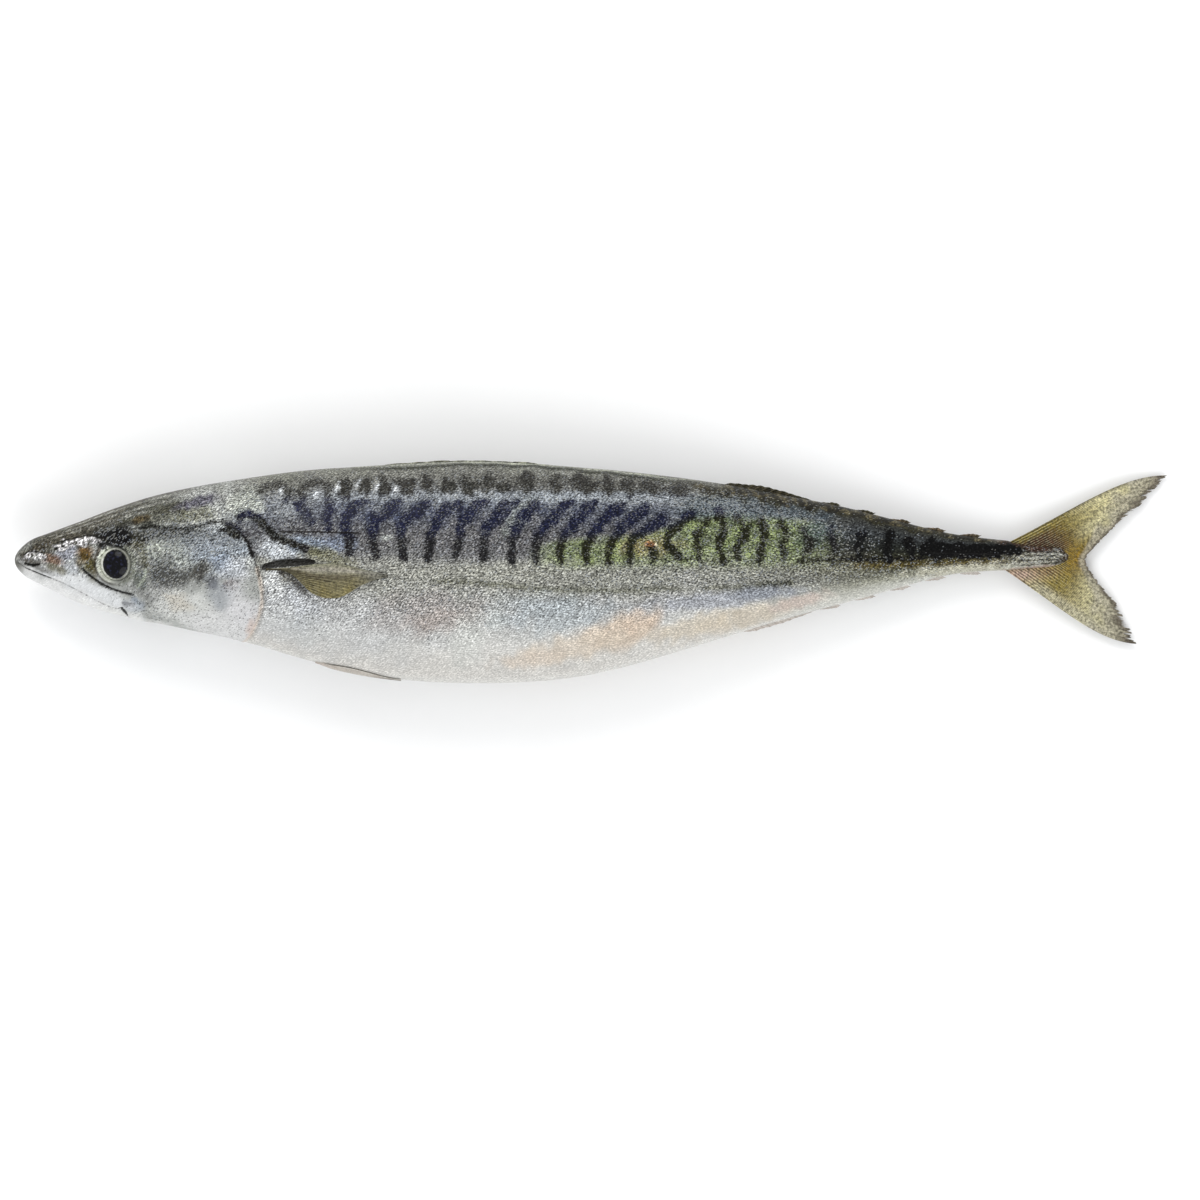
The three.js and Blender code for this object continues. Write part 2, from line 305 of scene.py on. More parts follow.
class Finish:
    """A procedural material. Each call adds a node and returns its output."""

    def __init__(self, name, **constants):
        self.material = bpy.data.materials.new(name)
        self.material.use_nodes = True
        self.tree = self.material.node_tree
        self.shader = self.tree.nodes["Principled BSDF"]
        for socket, value in constants.items():
            self.shader.inputs[socket.replace("_", " ")].default_value = value

    def node(self, kind, settings=None, **inputs):
        node = self.tree.nodes.new("ShaderNode" + kind)
        for key, value in (settings or {}).items():
            setattr(node, key, value)
        for key, value in inputs.items():
            self.feed(node.inputs[key.replace("_", " ")], value)
        return node.outputs[0]

    def feed(self, socket, value):
        if isinstance(value, bpy.types.NodeSocket):
            self.tree.links.new(value, socket)
        elif value is not None:
            socket.default_value = value

    def math(self, operation, *values):
        node = self.tree.nodes.new("ShaderNodeMath")
        node.operation = operation
        for socket, value in zip(node.inputs, values):
            self.feed(socket, value)
        return node.outputs[0]

    def plus(self, a, b):
        return self.math("ADD", a, b)

    def minus(self, a, b):
        return self.math("SUBTRACT", a, b)

    def times(self, a, b):
        return self.math("MULTIPLY", a, b)

    def attribute(self, name, output="Fac"):
        node = self.tree.nodes.new("ShaderNodeAttribute")
        node.attribute_name = name
        return node.outputs[output]

    def mix(self, share, a, b):
        """A colour between a and b."""
        node = self.tree.nodes.new("ShaderNodeMix")
        node.data_type = "RGBA"
        for index, value in ((0, share), (6, a), (7, b)):
            plain = index > 0 and not isinstance(value, bpy.types.NodeSocket)
            self.feed(node.inputs[index], (*value, 1) if plain else value)
        return node.outputs[2]

    def spread(self, value, low, high, to_low=0.0, to_high=1.0, interpolation="SMOOTHSTEP"):
        settings = {"interpolation_type": interpolation}
        return self.node("MapRange", settings, Value=value, From_Min=low, From_Max=high,
                         To_Min=to_low, To_Max=to_high)

    def noise(self, where, scale, detail=2.0, roughness=0.5):
        return self.node("TexNoise", Vector=where, Scale=scale, Detail=detail, Roughness=roughness)

    def cells(self, where, scale, randomness):
        """Random cells: the distance to each one's middle, and two random numbers for each."""
        node = self.tree.nodes.new("ShaderNodeTexVoronoi")
        node.voronoi_dimensions = "2D"
        self.feed(node.inputs["Vector"], where)
        node.inputs["Scale"].default_value = scale
        node.inputs["Randomness"].default_value = randomness
        parts = self.tree.nodes.new("ShaderNodeSeparateColor")
        self.feed(parts.inputs["Color"], node.outputs["Color"])
        return node.outputs["Distance"], parts.outputs[0], parts.outputs[1]

    def scaled(self, vector, factor):
        return self.node("VectorMath", {"operation": "SCALE"}, Vector=vector, Scale=factor)

    def blend(self, share, a, b):
        """A plain value between a and b."""
        node = self.tree.nodes.new("ShaderNodeMix")
        for index, value in ((0, share), (2, a), (3, b)):
            self.feed(node.inputs[index], value)
        return node.outputs[0]

    def relief(self, height, depth):
        """A bump map. depth is in millimetres."""
        return self.node("Bump", Height=height, Distance=depth * MM, Strength=1.0)

    def use(self, **inputs):
        for key, value in inputs.items():
            self.feed(self.shader.inputs[key.replace("_", " ")], value)
        return self.material


def skin_finish():
    """Wet scaled skin: pigment and dark marks from the body's own values, broken up scale by scale."""
    f = Finish("wet_skin", Coat_Weight=0.1, Coat_Roughness=0.14, Coat_IOR=1.36, Specular_IOR_Level=0.05)
    scales = f.attribute("scale_map", "Vector")
    grain = f.attribute("grain")
    from_scale, tone, _ = f.cells(scales, 1.0, 0.3)
    from_speck, chance, other_chance = f.cells(scales, 2.0, 1.0)
    fine = f.noise(scales, 1.5, 1.0, 0.8)
    broad = f.noise(scales, 0.16, 3.0)

    # Brightness of each scale, with a dark gap round it, as a factor around 1
    glint = f.spread(tone, 0.0, 1.0, 0.7, 1.3, "LINEAR")
    glint = f.times(glint, f.spread(from_scale, 0.2, 0.65, 1.14, 0.72))
    glint = f.times(glint, f.spread(fine, 0.36, 0.64, 0.3, 1.8, "LINEAR"))
    factor = f.plus(1.0, f.times(f.minus(glint, 1.0), grain))
    factor = f.times(factor, f.spread(broad, 0.3, 0.7, 0.93, 1.07, "LINEAR"))
    ground = f.scaled(f.attribute("pigment", "Vector"), factor)

    # Dark bars and blotches, with ragged edges
    ragged = f.minus(f.noise(scales, 0.55, 3.0, 0.6), 0.5)
    mark = f.plus(f.attribute("mark"), f.times(ragged, 0.9))
    mark = f.plus(mark, f.times(f.minus(fine, 0.5), -1.2))
    mark = f.times(f.spread(mark, 0.1, 0.95), f.spread(f.attribute("mark"), 0.0, 0.15))
    colour = f.mix(mark, ground, f.scaled(f.attribute("mark_pigment", "Vector"), factor))

    # Pale and dark specks, each in a cell of its own. The pale specks are painted glints of single scales.
    middle = f.spread(from_speck, 0.62, 0.3)
    pepper = f.spread(f.minus(f.attribute("pepper"), other_chance), -0.02, 0.04)
    colour = f.mix(f.times(f.times(pepper, middle), 0.72), colour, pigment(38, 38, 36))
    glint_salt = f.spread(f.minus(f.attribute("glint_salt"), chance), -0.02, 0.04)
    pale = f.mix(other_chance, pigment(186, 196, 212), pigment(218, 216, 202))
    pale = f.mix(0.5, pale, f.scaled(colour, 2.2))
    share = f.times(f.times(glint_salt, middle), f.spread(mark, 0.0, 1.0, 0.85, 0.45, "LINEAR"))
    colour = f.mix(share, colour, pale)

    # Thin lines, worn through in places
    wear_and_sheen = f.times(f.minus(f.noise(scales, 0.8, 3.0, 0.7), 0.5), 1.6)
    line = f.plus(f.attribute("line"), wear_and_sheen)
    line = f.times(f.spread(line, 0.3, 0.8, 0.0, 0.92), f.spread(f.attribute("line"), 0.05, 0.2))
    colour = f.mix(line, colour, pigment(24, 22, 19))

    silver = f.times(f.attribute("silver"), f.spread(tone, 0.0, 1.0, 0.6, 1.0, "LINEAR"))
    rough = f.plus(0.34, f.times(f.noise(scales, 0.4, 3.0), 0.2))
    height = f.times(f.spread(from_scale, 0.65, 0.1), f.plus(grain, 0.1))
    return f.use(Base_Color=colour, Metallic=silver, Roughness=rough, Normal=f.relief(height, 0.05))


def eye_finish():
    """Black pupil in a silver ring, under a wet clear surface."""
    f = Finish("wet_eye", Coat_Weight=0.3, Coat_Roughness=0.04, Coat_IOR=1.36, Specular_IOR_Level=0.05)
    disc = f.attribute("disc", "Vector")
    radius = f.attribute("from_pupil")
    speck = f.noise(disc, 8.0, 3.0, 0.7)
    silver = f.mix(f.spread(speck, 0.3, 0.65), pigment(196, 200, 186), pigment(255, 255, 246))
    ring = f.mix(f.attribute("shade"), silver, pigment(88, 90, 72))
    # The pupil's bluish patches are painted reflection of the studio lights.
    pupil = f.mix(f.spread(f.noise(disc, 5.0, 3.0), 0.5, 0.7), pigment(8, 8, 12), pigment(40, 42, 66))
    edge = f.plus(radius, f.times(f.minus(speck, 0.5), 0.14))
    colour = f.mix(f.spread(edge, 0.93, 1.04), pupil, ring)
    # A dark rim at the ball's edge: painted shade where it meets its socket.
    outer = f.plus(f.attribute("rim"), f.times(f.minus(speck, 0.5), 0.08))
    colour = f.mix(f.spread(outer, 0.98, 1.05), colour, pigment(60, 60, 50))
    rough = f.spread(edge, 0.95, 1.03, 0.12, 0.4)
    metal = f.spread(edge, 0.97, 1.03, 0.0, 0.15)
    normal = f.relief(speck, 0.04)
    return f.use(Base_Color=colour, Roughness=rough, Metallic=metal, Normal=normal)


def fin_finish(name, dark, pale, contrast, mottle, grain):
    """Rays under a wet membrane. dark is the pigment between the rays, pale that of their joints."""
    f = Finish(name, Coat_Weight=0.12, Coat_Roughness=0.2, Specular_IOR_Level=0.12)
    where = f.attribute("fin_map", "Vector")
    joints = f.attribute("joint_map", "Vector")
    reach = f.attribute("reach")
    speck = f.noise(where, 1.35, 2.0, 0.7)
    joint = f.noise(joints, 1.0, 2.0, 0.65)
    sway = f.times(f.minus(f.noise(where, 0.25, 2.0), 0.5), 0.5)
    wobble = f.times(f.plus(f.attribute("ray"), sway), 2 * math.pi)
    whole, halved, quartered = (f.math("COSINE", f.times(wobble, n)) for n in (1.0, 2.0, 4.0))
    stripe = f.blend(f.spread(reach, 0.15, 0.45), whole, halved)
    stripe = f.blend(f.spread(reach, 0.5, 0.85), stripe, quartered)
    stripe = f.plus(stripe, f.times(f.minus(joint, 0.5), mottle))
    stipple = f.spread(speck, 0.36, 0.64, 1 - grain, 1 + grain, "LINEAR")
    colour = f.scaled(f.attribute("pigment", "Vector"), stipple)
    colour = f.mix(f.times(f.spread(stripe, 0.35, -0.75), contrast), colour, dark)
    colour = f.mix(f.spread(stripe, 0.45, 1.5, 0.0, 0.55), colour, pale)
    rough = f.plus(0.36, f.times(speck, 0.25))
    height = f.plus(f.times(stripe, 0.5), f.times(speck, 0.4))
    return f.use(Base_Color=colour, Roughness=rough, Normal=f.relief(height, 0.1))


# -------------------- body grid

HEAD_END = 84.0
HEAD_STEP, TRUNK_STEP = 0.34, 0.66
AROUND = 280
FLANK_SHARE = 0.2  # how much closer the columns lie on the flanks than at back and belly

ring_s = np.concatenate([
    [0.03, 0.1, 0.2],
    np.arange(0.34, HEAD_END, HEAD_STEP),
    np.arange(HEAD_END, BODY_LENGTH - 1.2, TRUNK_STEP),
    BODY_LENGTH - np.array([0.9, 0.6, 0.35, 0.15, 0.04]),
])
turn = np.arange(AROUND) * 2 * math.pi / AROUND
ring_angle = turn - FLANK_SHARE * np.sin(2 * turn) / 2
S, ANGLE = np.meshgrid(ring_s, ring_angle, indexing="ij")
raw = flank(S, ANGLE)
H = raw[..., 1]
SIDE = np.where(np.cos(ANGLE) >= 0, LEFT, RIGHT)
BACK, BELLY = back_at(S), belly_at(S)
LEVEL = H / np.maximum(np.where(H > 0, BACK, BELLY), 0.5)  # 1 at the back, -1 at the belly


def grid_normals(points):
    """Outward normals of the body's grid."""
    around = np.roll(points, -1, axis=1) - np.roll(points, 1, axis=1)
    along = np.gradient(points, axis=0)
    normal = np.cross(around, along)
    normal /= np.maximum(np.linalg.norm(normal, axis=-1, keepdims=True), 1e-9)
    return normal * np.sign(np.sum(normal * (points - points.mean(axis=1, keepdims=True)), axis=-1).mean())


NORMAL = grid_normals(raw)
APART = H + 50 * (SIDE == RIGHT)  # heights that give the two flanks random patterns of their own
step_round = np.linalg.norm(np.roll(raw, -1, axis=1) - raw, axis=-1)
top_column = int(np.argmin(np.abs(ring_angle - math.pi / 2)))
ARC = np.roll(step_round, -top_column, axis=1).cumsum(axis=1)
ARC = np.roll(np.concatenate([0 * ARC[:, :1], ARC[:, :-1]], axis=1), top_column, axis=1)
GIRTH = step_round.sum(axis=1, keepdims=True)
ARC = np.minimum(ARC, GIRTH - ARC)  # distance round the skin from the back's middle line, on either side
ROUND = ARC * SIDE


class Reach:
    """Distance from the skin to a line in the side view, with how far along and on which side of it."""

    def __init__(self, points, reach, side=None, shift=(0.0, 0.0)):
        path = route(points) - np.array(shift)
        low, high = path.min(0) - reach, path.max(0) + reach
        self.near = (S > low[0]) & (S < high[0]) & (H > low[1]) & (H < high[1])
        if side is not None:
            self.near &= SIDE == side
        here = np.stack([S[self.near], H[self.near]], axis=-1)
        self.distance = np.full(len(here), 99.0)
        self.along = np.zeros(len(here))
        self.behind = np.zeros(len(here))
        for k, (a, b) in enumerate(zip(path, path[1:])):
            step = b - a
            share = np.clip((here - a) @ step / (step @ step), 0, 1)
            gap = here - a - share[:, None] * step
            distance = np.hypot(gap[:, 0], gap[:, 1])
            closer = distance < self.distance
            self.distance[closer] = distance[closer]
            self.along[closer] = ((k + share) / (len(path) - 1))[closer]
            self.behind[closer] = np.sign(gap[:, 0] * step[1] - gap[:, 1] * step[0])[closer]

    def spread(self, value):
        full = np.zeros(S.shape)
        full[self.near] = value
        return full


def stroke(points, half_width, blur, side=None, taper=0.0, shift=(0.0, 0.0), tip_width=None, wander=0.0):
    """A soft line on the skin: 1 along its middle, 0 beyond half_width + blur. taper narrows its ends."""
    tip_width = half_width if tip_width is None else tip_width
    line = Reach(points, max(half_width, tip_width) + blur + wander + 0.5, side, shift)
    width = half_width + (tip_width - half_width) * line.along
    width = width * (1 - taper * (1 - np.sqrt(np.sin(np.pi * np.clip(line.along, 0.001, 0.999)))))
    if wander:
        width = width + wander * drift(S[line.near], APART[line.near], 3.4, int(points[0][0] * 10))
    return line.spread(smooth(width + blur, np.maximum(width - blur, 0), line.distance))


def patch(s, h, length, height, tilt=0.0, edge=0.5, side=None, wander=0.25):
    """A soft oval on the skin, 1 inside. tilt raises its rear end, in degrees. wander makes it irregular."""
    turn = math.radians(tilt)
    along = (S - s) * math.cos(turn) + (H - h) * math.sin(turn)
    across = -(S - s) * math.sin(turn) + (H - h) * math.cos(turn)
    away = np.hypot(along / length, across / height)
    near = away < 2.5
    size = 1.2 * min(length, height) + 1.4
    away[near] += wander * drift(S[near], APART[near], size, int(abs(7 * s + 13 * h)))
    mask = smooth(1 + edge, 1 - edge, away)
    return mask if side is None else mask * (SIDE == side)


# -------------------- head lines

# The gill cover's rear edge, from the nape to the throat
GILL_EDGE = [(64.5, 10.6), (67.2, 9.6), (69, 7.9), (70.8, 5.8), (72.5, 1.5), (73.9, -2.3), (74.7, -6.1),
             (75.3, -9.5), (75.1, -13.8), (73.9, -18.3), (71.6, -22.4), (68.5, -25.5)]
MOUTH = [(0.6, -0.6), (3.5, -2.6), (7, -4.0), (11.1, -5.6), (15.6, -7.5), (21.9, -10.8), (26.6, -13.4),
         (29.9, -14.8), (32.8, -14.6)]
MOUTH_CORNER = [(32.3, -14.8), (34.2, -17.0)]
JAW_LINE = [(4.5, -6.0), (10, -8.6), (16, -11.2), (22, -14.0), (28, -17.0)]
UNDER_EYE = [(20.8, -2.8), (23.2, -4.9), (26.6, -7.2), (31.0, -9.2), (36.2, -10.5)]
CHEEK_TOP = [(38.4, 9.6), (42.5, 10.0), (48.1, 9.1), (55.1, 10.0), (60, 11.3), (63.5, 11.3)]
PREOPERCLE = [(57.0, 4.0), (58.6, 0.2), (59.8, -4.5), (61.7, -10.3), (63.5, -14.9), (62.5, -19.5)]
SHOULDER = [(68.6, 12.4), (70.6, 13.6), (73.4, 12.8), (75.6, 10.8), (77.8, 8.5), (80.3, 6.5), (84.5, 5.0),
            (88.6, 3.5)]
LATERAL_LINE = [(80.6, 8.4), (92, 8.3), (105, 8.0), (125, 6.6), (150, 6.9), (175, 6.2), (200, 5.6),
                (225, 4.9), (250, 3.8), (275, 2.6), (300, 2.0), (312, 1.8)]
# The slot above the pectoral fin's root; the black painted along it is painted shade in the slot.
FIN_SLOT = [(75.9, -2.2), (80, -1.1), (85, -0.75), (90.7, -0.7)]
# A crease under the snout's lip; the dark line painted along it is painted shade in the crease.
SNOUT_CREASE = [(3.0, -0.9), (5.0, -1.5), (7.6, -1.2)]

NOSTRILS = [(12.6, 3.6), (14.6, 4.3)]
BROW_LINES = [[(2.6, 1.4), (5, 2.6), (8.6, 2.2)], [(13, 5.2), (18, 6.6), (23, 7.4), (28, 6.2)]]
EYE_REGION_END = 60

gill_s_at = curve([p[1] for p in reversed(GILL_EDGE)], [p[0] for p in reversed(GILL_EDGE)])
NAPE_S, NAPE_H = GILL_EDGE[0]
above_gill = H - NAPE_H
past_gill = S - np.where(above_gill > 0, NAPE_S + 0.25 * above_gill, gill_s_at(H))
fade = 0.6 + 0.7 * np.clip(above_gill, 0, 10)  # the head passes softly into the nape above the gill cover
HEAD = smooth(fade, -fade, past_gill + 0.3 * fade * drift(S, H, 5, 17) * (fade > 0.7))


# -------------------- body shape

def sculpted():
    """How far the skin stands out from the plain section, in millimetres."""
    rise = np.zeros(S.shape)
    for depth, points, half_width, blur in (
            (0.5, MOUTH, 0.15, 0.45), (0.5, MOUTH_CORNER, 0.15, 0.45), (0.18, JAW_LINE, 0.1, 0.5),
            (0.35, UNDER_EYE, 0.1, 0.5), (0.3, CHEEK_TOP, 0.15, 0.7), (0.08, PREOPERCLE, 0.1, 0.9),
            (0.35, SHOULDER, 0.3, 0.9), (-0.1, LATERAL_LINE, 0.1, 0.5), (1.1, FIN_SLOT, 0.45, 0.6),
            (0.3, SNOUT_CREASE, 0.1, 0.4)):
        rise -= depth * stroke(points, half_width, blur)
    rise += 0.45 * stroke([(8, -2.6), (14, -4.6), (21, -8.0), (28, -11.6)], 1.4, 1.6, taper=0.6)
    for s, h in NOSTRILS:
        rise -= 0.6 * patch(s, h, 0.6, 0.5, 25)
    rise += 0.5 * patch(50, -4, 13, 12, -10, 0.9) + 0.45 * patch(64, -8, 9, 14, 0, 0.9)
    rise += 0.3 * patch(47, 14, 12, 3.5, 15, 0.9)

    # The gill cover overlaps the shoulder: it stands proud up to its edge, with a cleft behind
    gill = Reach(GILL_EDGE, 12)
    ends = between(gill.along, 0, 0.12, 0.9, 1)
    front = gill.behind < 0 if gill.behind[np.argmin(S[gill.near])] < 0 else gill.behind > 0
    lip = np.where(front, 0.75 * np.exp(-gill.distance / 3.5), 0)
    cleft = np.where(front, 0, -0.55 * peak(gill.distance - 0.35, 0.7))
    rise += gill.spread((lip + cleft) * ends)
    for k in range(4):  # rays of the gill membrane along the throat
        ray = [(38 + 3 * k, -17.6 - 0.6 * k), (50 + 3 * k, -20.3 - 0.7 * k), (62 + 2 * k, -22.4 - 0.7 * k)]
        rise -= 0.13 * stroke(ray, 0.1, 0.6)

    # Folded muscle under the flank's skin
    fold = S + 5.5 * np.abs(LEVEL - 0.1) ** 0.8
    trunk = (1 - HEAD) * smooth(300, 270, S) * smooth(1, 0.8, np.abs(LEVEL))
    rise += 0.05 * np.sin(fold * 2 * math.pi / 8.5) * trunk
    rise += 0.07 * drift(S, H + 40 * (SIDE < 0), 16, 3) * trunk

    # Groove of the first dorsal fin, and two low keels on each side of the tail stem
    rise -= 0.55 * between(S, 97, 101, 172, 178) * peak(ARC, 1.0)
    for keel in ([(304, 5.0), (311, 4.8), (318, 3.4)], [(305, -0.6), (311, -0.3), (318, 0.6)]):
        rise += 0.4 * stroke(keel, 0.2, 0.9, taper=0.5)
    return rise


def orbit(points, rise):
    """Sinks a socket for each eyeball and raises a soft lid round it."""
    socket = np.zeros(S.shape)
    lid = np.zeros(S.shape)
    for side, (centre, axis, radius) in EYES.items():
        offset = points - centre
        height = offset @ axis
        away = np.linalg.norm(offset - height[..., None] * axis, axis=-1)
        facing = (SIDE == side) & (S < EYE_REGION_END)
        inside = smooth(radius + 0.25, radius - 0.25, away)
        socket += np.where(facing, inside * np.maximum(height + 0.3, 0), 0)
        lid += np.where(facing, peak(away - radius - 0.9, 0.8), 0)
    return rise + 0.4 * lid, socket


rise = sculpted()
rise, socket_depth = orbit(raw, rise)
tip_fade = smooth(0.0, 2.0, S)
skin_points = raw + NORMAL * (rise * tip_fade)[..., None]
over = curve([0, 301, 304.5, 308, 313, 318, BODY_LENGTH], [1, 1, 0.86, 0.74, 0.74, 0.95, 1.0])(S)
under = curve([0, 301, 306, 312, 317, BODY_LENGTH], [1, 1, 0.92, 0.88, 0.95, 1.0])(S)
above_middle = skin_points[..., 1] - STEM_MIDDLE
skin_points[..., 1] = STEM_MIDDLE + above_middle * np.where(above_middle > 0, over, under)  # the flesh thins
for side, (_, axis, _) in EYES.items():
    skin_points -= np.where(SIDE == side, socket_depth, 0)[..., None] * axis
skin_points = resting(skin_points)


# -------------------- body pigment

# Dark bars of the left flank, from foot to tip, as (s, h)
BARS = [
    [(90.2, 11), (88.6, 13.5), (87, 16.3), (88, 19.5)],
    [(95.5, 9.2), (95.3, 13), (96.2, 16.6), (94.8, 20)],
    [(101.9, 2.3), (101.6, 7.0), (100.4, 10.0), (103, 15.2), (106.4, 18.3)],
    [(109.6, 1.2), (109, 7.5), (109.6, 12), (113.4, 14.1), (116.5, 18)],
    [(118.3, 0.5), (117.6, 7.5), (118.2, 11.2), (120.4, 13.5), (123.2, 14.8), (125.6, 18)],
    [(126, 0.5), (126.2, 6.8), (127.9, 9.6), (128.9, 12.4), (131, 14.8), (135, 16.4)],
    [(133.8, 1.2), (135.1, 6.8), (136.2, 11), (137.9, 13.4), (140.7, 15.9), (142.8, 17.9)],
    [(142.8, 0.5), (142.5, 6.8), (143.7, 9.6), (146.7, 12.4), (148.7, 15.5), (151.9, 17.9)],
    [(151.2, -0.5), (151.2, 4.7), (151.8, 8.2), (153.8, 11.7), (156.1, 14.5), (158.9, 17.2)],
    [(158.5, -0.5), (158.5, 4), (158.9, 6.8), (160.9, 9.6), (163.2, 12), (165.8, 14.8), (168.6, 17.6)],
    [(165.8, -0.2), (165.8, 4), (167.2, 7.1), (169.7, 10.3), (172.5, 13.8), (175.6, 16.9)],
    [(173.5, -0.5), (173.8, 4), (174.9, 6.8), (177, 9.9), (179.6, 12.5), (183.6, 15.5)],
    [(180.5, -0.6), (180.8, 3.8), (182.3, 7), (184.8, 9.9), (189.3, 13.4), (191.8, 15.1)],
    [(186.9, -0.6), (186.9, 3.6), (188.3, 6.6), (191.8, 8.9), (194.6, 10.9), (197.3, 13)],
    [(193.8, -0.5), (193.4, 3.2)],
    [(202, 0.4), (199.6, 3.2), (198.4, 6.4), (200.5, 9.2), (203.6, 12), (205.7, 13.7)],
    [(208.2, 0.1), (207.4, 3.2), (207.4, 6.4), (208.4, 9.2), (210.6, 11.3)],
    [(215.3, -0.2), (214.1, 2.9), (214.1, 5.7), (215.1, 8.5), (214.8, 11.3), (214.1, 14.4)],
    [(219.5, 0.6), (219.8, 4.6), (221.7, 7.1), (221.4, 9.9), (219.3, 12.4)],
    [(226.3, -0.6), (226.6, 2.9), (228, 5.9), (227.4, 9.2), (226.5, 12)],
    [(233.7, 0.6), (233.4, 4.8), (234.1, 8.2), (232.5, 10.8)],
    [(239.3, -0.1), (240.4, 2.2), (241.7, 4.8), (239.4, 9)],
    [(248.7, -0.1), (249.1, 3.4), (248.2, 6), (248, 9)],
    [(256.4, 0.2), (256.6, 2.4), (256.2, 4.8), (257.8, 7.8)],
    [(265.8, 0.2), (265.1, 3), (265.3, 5.2), (266, 7.8)],
    [(272.4, 0.4), (272.2, 3), (271.6, 6)],
    [(280, 0.6), (279.6, 3), (278.5, 5.2)],
]
# How dark each bar is, from the first one on
BAR_STRENGTH = [0.9, 0.9, 1.1, 1.1, 1.1, 1.1, 1, 1, 1, 1, 1, 1, 0.95, 0.9, 0.8, 1, 0.9, 1, 0.95, 1, 0.8,
                0.85, 0.85, 0.95, 1.1, 1.2, 1.2]
BAR_FOOT, BAR_TIP = 1.2, 2.2  # half widths
TAIL_STEM_STRIPE = [(277, 3.2), (284, 2.8), (291, 2.7), (297, 2.8), (305, 3.2)]
FOOT_LINE = [(238, -0.6), (246, 0.0), (254, 0.3), (262, 0.2), (272, 0.4), (284, 1.0)]
SMUDGES = [[(197, 0.2), (203, 0.0), (208, 0.3)], [(212, -0.4), (217, -0.2)],
           [(226, -7.2), (231, -6.9), (236, -6.8)]]

# Blotches above the bars, as (s, h, half length, half height), and two hooks before them
BLOTCHES = [
    (100.6, 20.9, 1.6, 3.0), (106.6, 22.0, 1.7, 2.5), (112.4, 21.6, 1.5, 2.8), (118.9, 21.8, 2.3, 2.3),
    (125.2, 22.2, 1.9, 2.3), (131.4, 21.9, 1.7, 2.7), (138.2, 22.4, 2.3, 2.6), (144.4, 23.0, 2.0, 2.4),
    (149.0, 21.6, 2.2, 1.4), (155.6, 22.9, 2.9, 2.6), (164.2, 22.6, 1.6, 2.5), (172.6, 22.4, 3.6, 2.6),
    (180.4, 21.9, 1.9, 2.8), (186.4, 21.6, 2.2, 2.3), (193.4, 21.2, 3.2, 2.1), (201.0, 20.6, 3.6, 1.9),
]
HOOKS = [[(74.5, 20.6), (77.4, 22.3), (80.6, 22.6), (82.9, 20.7), (82.7, 17.7)],
         [(88.0, 18.2), (87.0, 20.7), (90.2, 22.8), (94.4, 23.0), (95.4, 19.6), (95.2, 16.5)]]


def bars(side):
    """How dark the bars are on one flank, 0 to about 1. Those of the right flank lie a little apart."""
    shift = (0.0, 0.0) if side == LEFT else (3.4, -0.7)
    total = np.zeros(S.shape)
    uneven = 1.0 + 0.26 * drift(S, APART, 5, 91)
    for points, strength in zip(BARS, BAR_STRENGTH):
        narrow = 0.8 if points[0][0] > 194 else 1.0
        bar = stroke(points, BAR_FOOT * narrow, 1.6, side, 0.3, shift, BAR_TIP * narrow, 0.65)
        total = np.maximum(total, 1.14 * strength * bar * smooth(19.8, 16.6, H))
        halo = stroke(points, BAR_FOOT, 3.2, side, 0.2, shift)
        total = np.maximum(total, 0.42 * strength * halo * smooth(18, 15, H))
    total = np.maximum(total, 1.6 * stroke(TAIL_STEM_STRIPE, 2.5, 1.3, side, 0.1, (0.0, 0.0), 1.6, 0.5))
    total = np.maximum(total, 0.8 * stroke(FOOT_LINE, 0.7, 0.9, side, 0.3, shift, None, 0.3))
    total = total * uneven
    marks = [0.6 * stroke(points, 0.9, 1.2, side, 0.4, shift, None, 0.3) for points in SMUDGES]
    marks += [0.8 * stroke(points, 1.2, 1.6, side, 0.2, shift, None, 0.5) for points in HOOKS]
    marks += [1.05 * patch(s - shift[0], h, length + 0.3, height + 0.3, 0, 0.6, side, 0.4)
              for s, h, length, height in BLOTCHES]
    return np.maximum.reduce([total, *marks])


def banded(levels):
    """A colour for every point of the skin from rows of (level, colour)."""
    at = [row[0] for row in levels]
    colours = np.array([pigment(*row[1]) for row in levels])
    wavy = LEVEL + 0.035 * drift(S, H, 14, 11)
    return np.stack([curve(at, colours[:, k])(wavy) for k in range(3)], axis=-1)


def lay(colour, over, share):
    """over with a coat of colour on it, as thick as share says."""
    return over + (pigment(*colour) - over) * np.clip(share, 0, 1)[..., None]


def coated(colour, coats):
    """A colour with coats of (share, shade) on it, one after another."""
    for share, shade in coats:
        colour = lay(shade, colour, share)
    return colour


def plain(shape, shade):
    """The same colour all over a grid."""
    return np.broadcast_to(pigment(*shade), (*shape, 3))


# Colours from the belly's edge (-1) to the back's (1)
TRUNK_BANDS = [
    (-1.0, (218, 215, 209)), (-0.8, (214, 212, 207)), (-0.62, (196, 196, 193)), (-0.42, (172, 172, 170)),
    (-0.22, (162, 162, 155)), (-0.05, (152, 152, 145)), (0.06, (120, 120, 120)), (0.2, (102, 101, 102)),
    (0.42, (92, 93, 98)), (0.58, (104, 108, 116)), (0.7, (120, 122, 124)), (0.8, (112, 112, 108)),
    (0.9, (124, 124, 117)), (1.0, (132, 133, 122)),
]
TAIL_BANDS = [
    (-1.0, (214, 214, 206)), (-0.8, (194, 194, 184)), (-0.6, (152, 152, 137)), (-0.4, (102, 102, 88)),
    (-0.15, (90, 88, 66)), (0.02, (62, 59, 38)), (0.12, (44, 44, 32)), (0.35, (42, 45, 42)),
    (0.6, (60, 63, 64)), (0.8, (54, 55, 51)), (1.0, (36, 35, 28)),
]

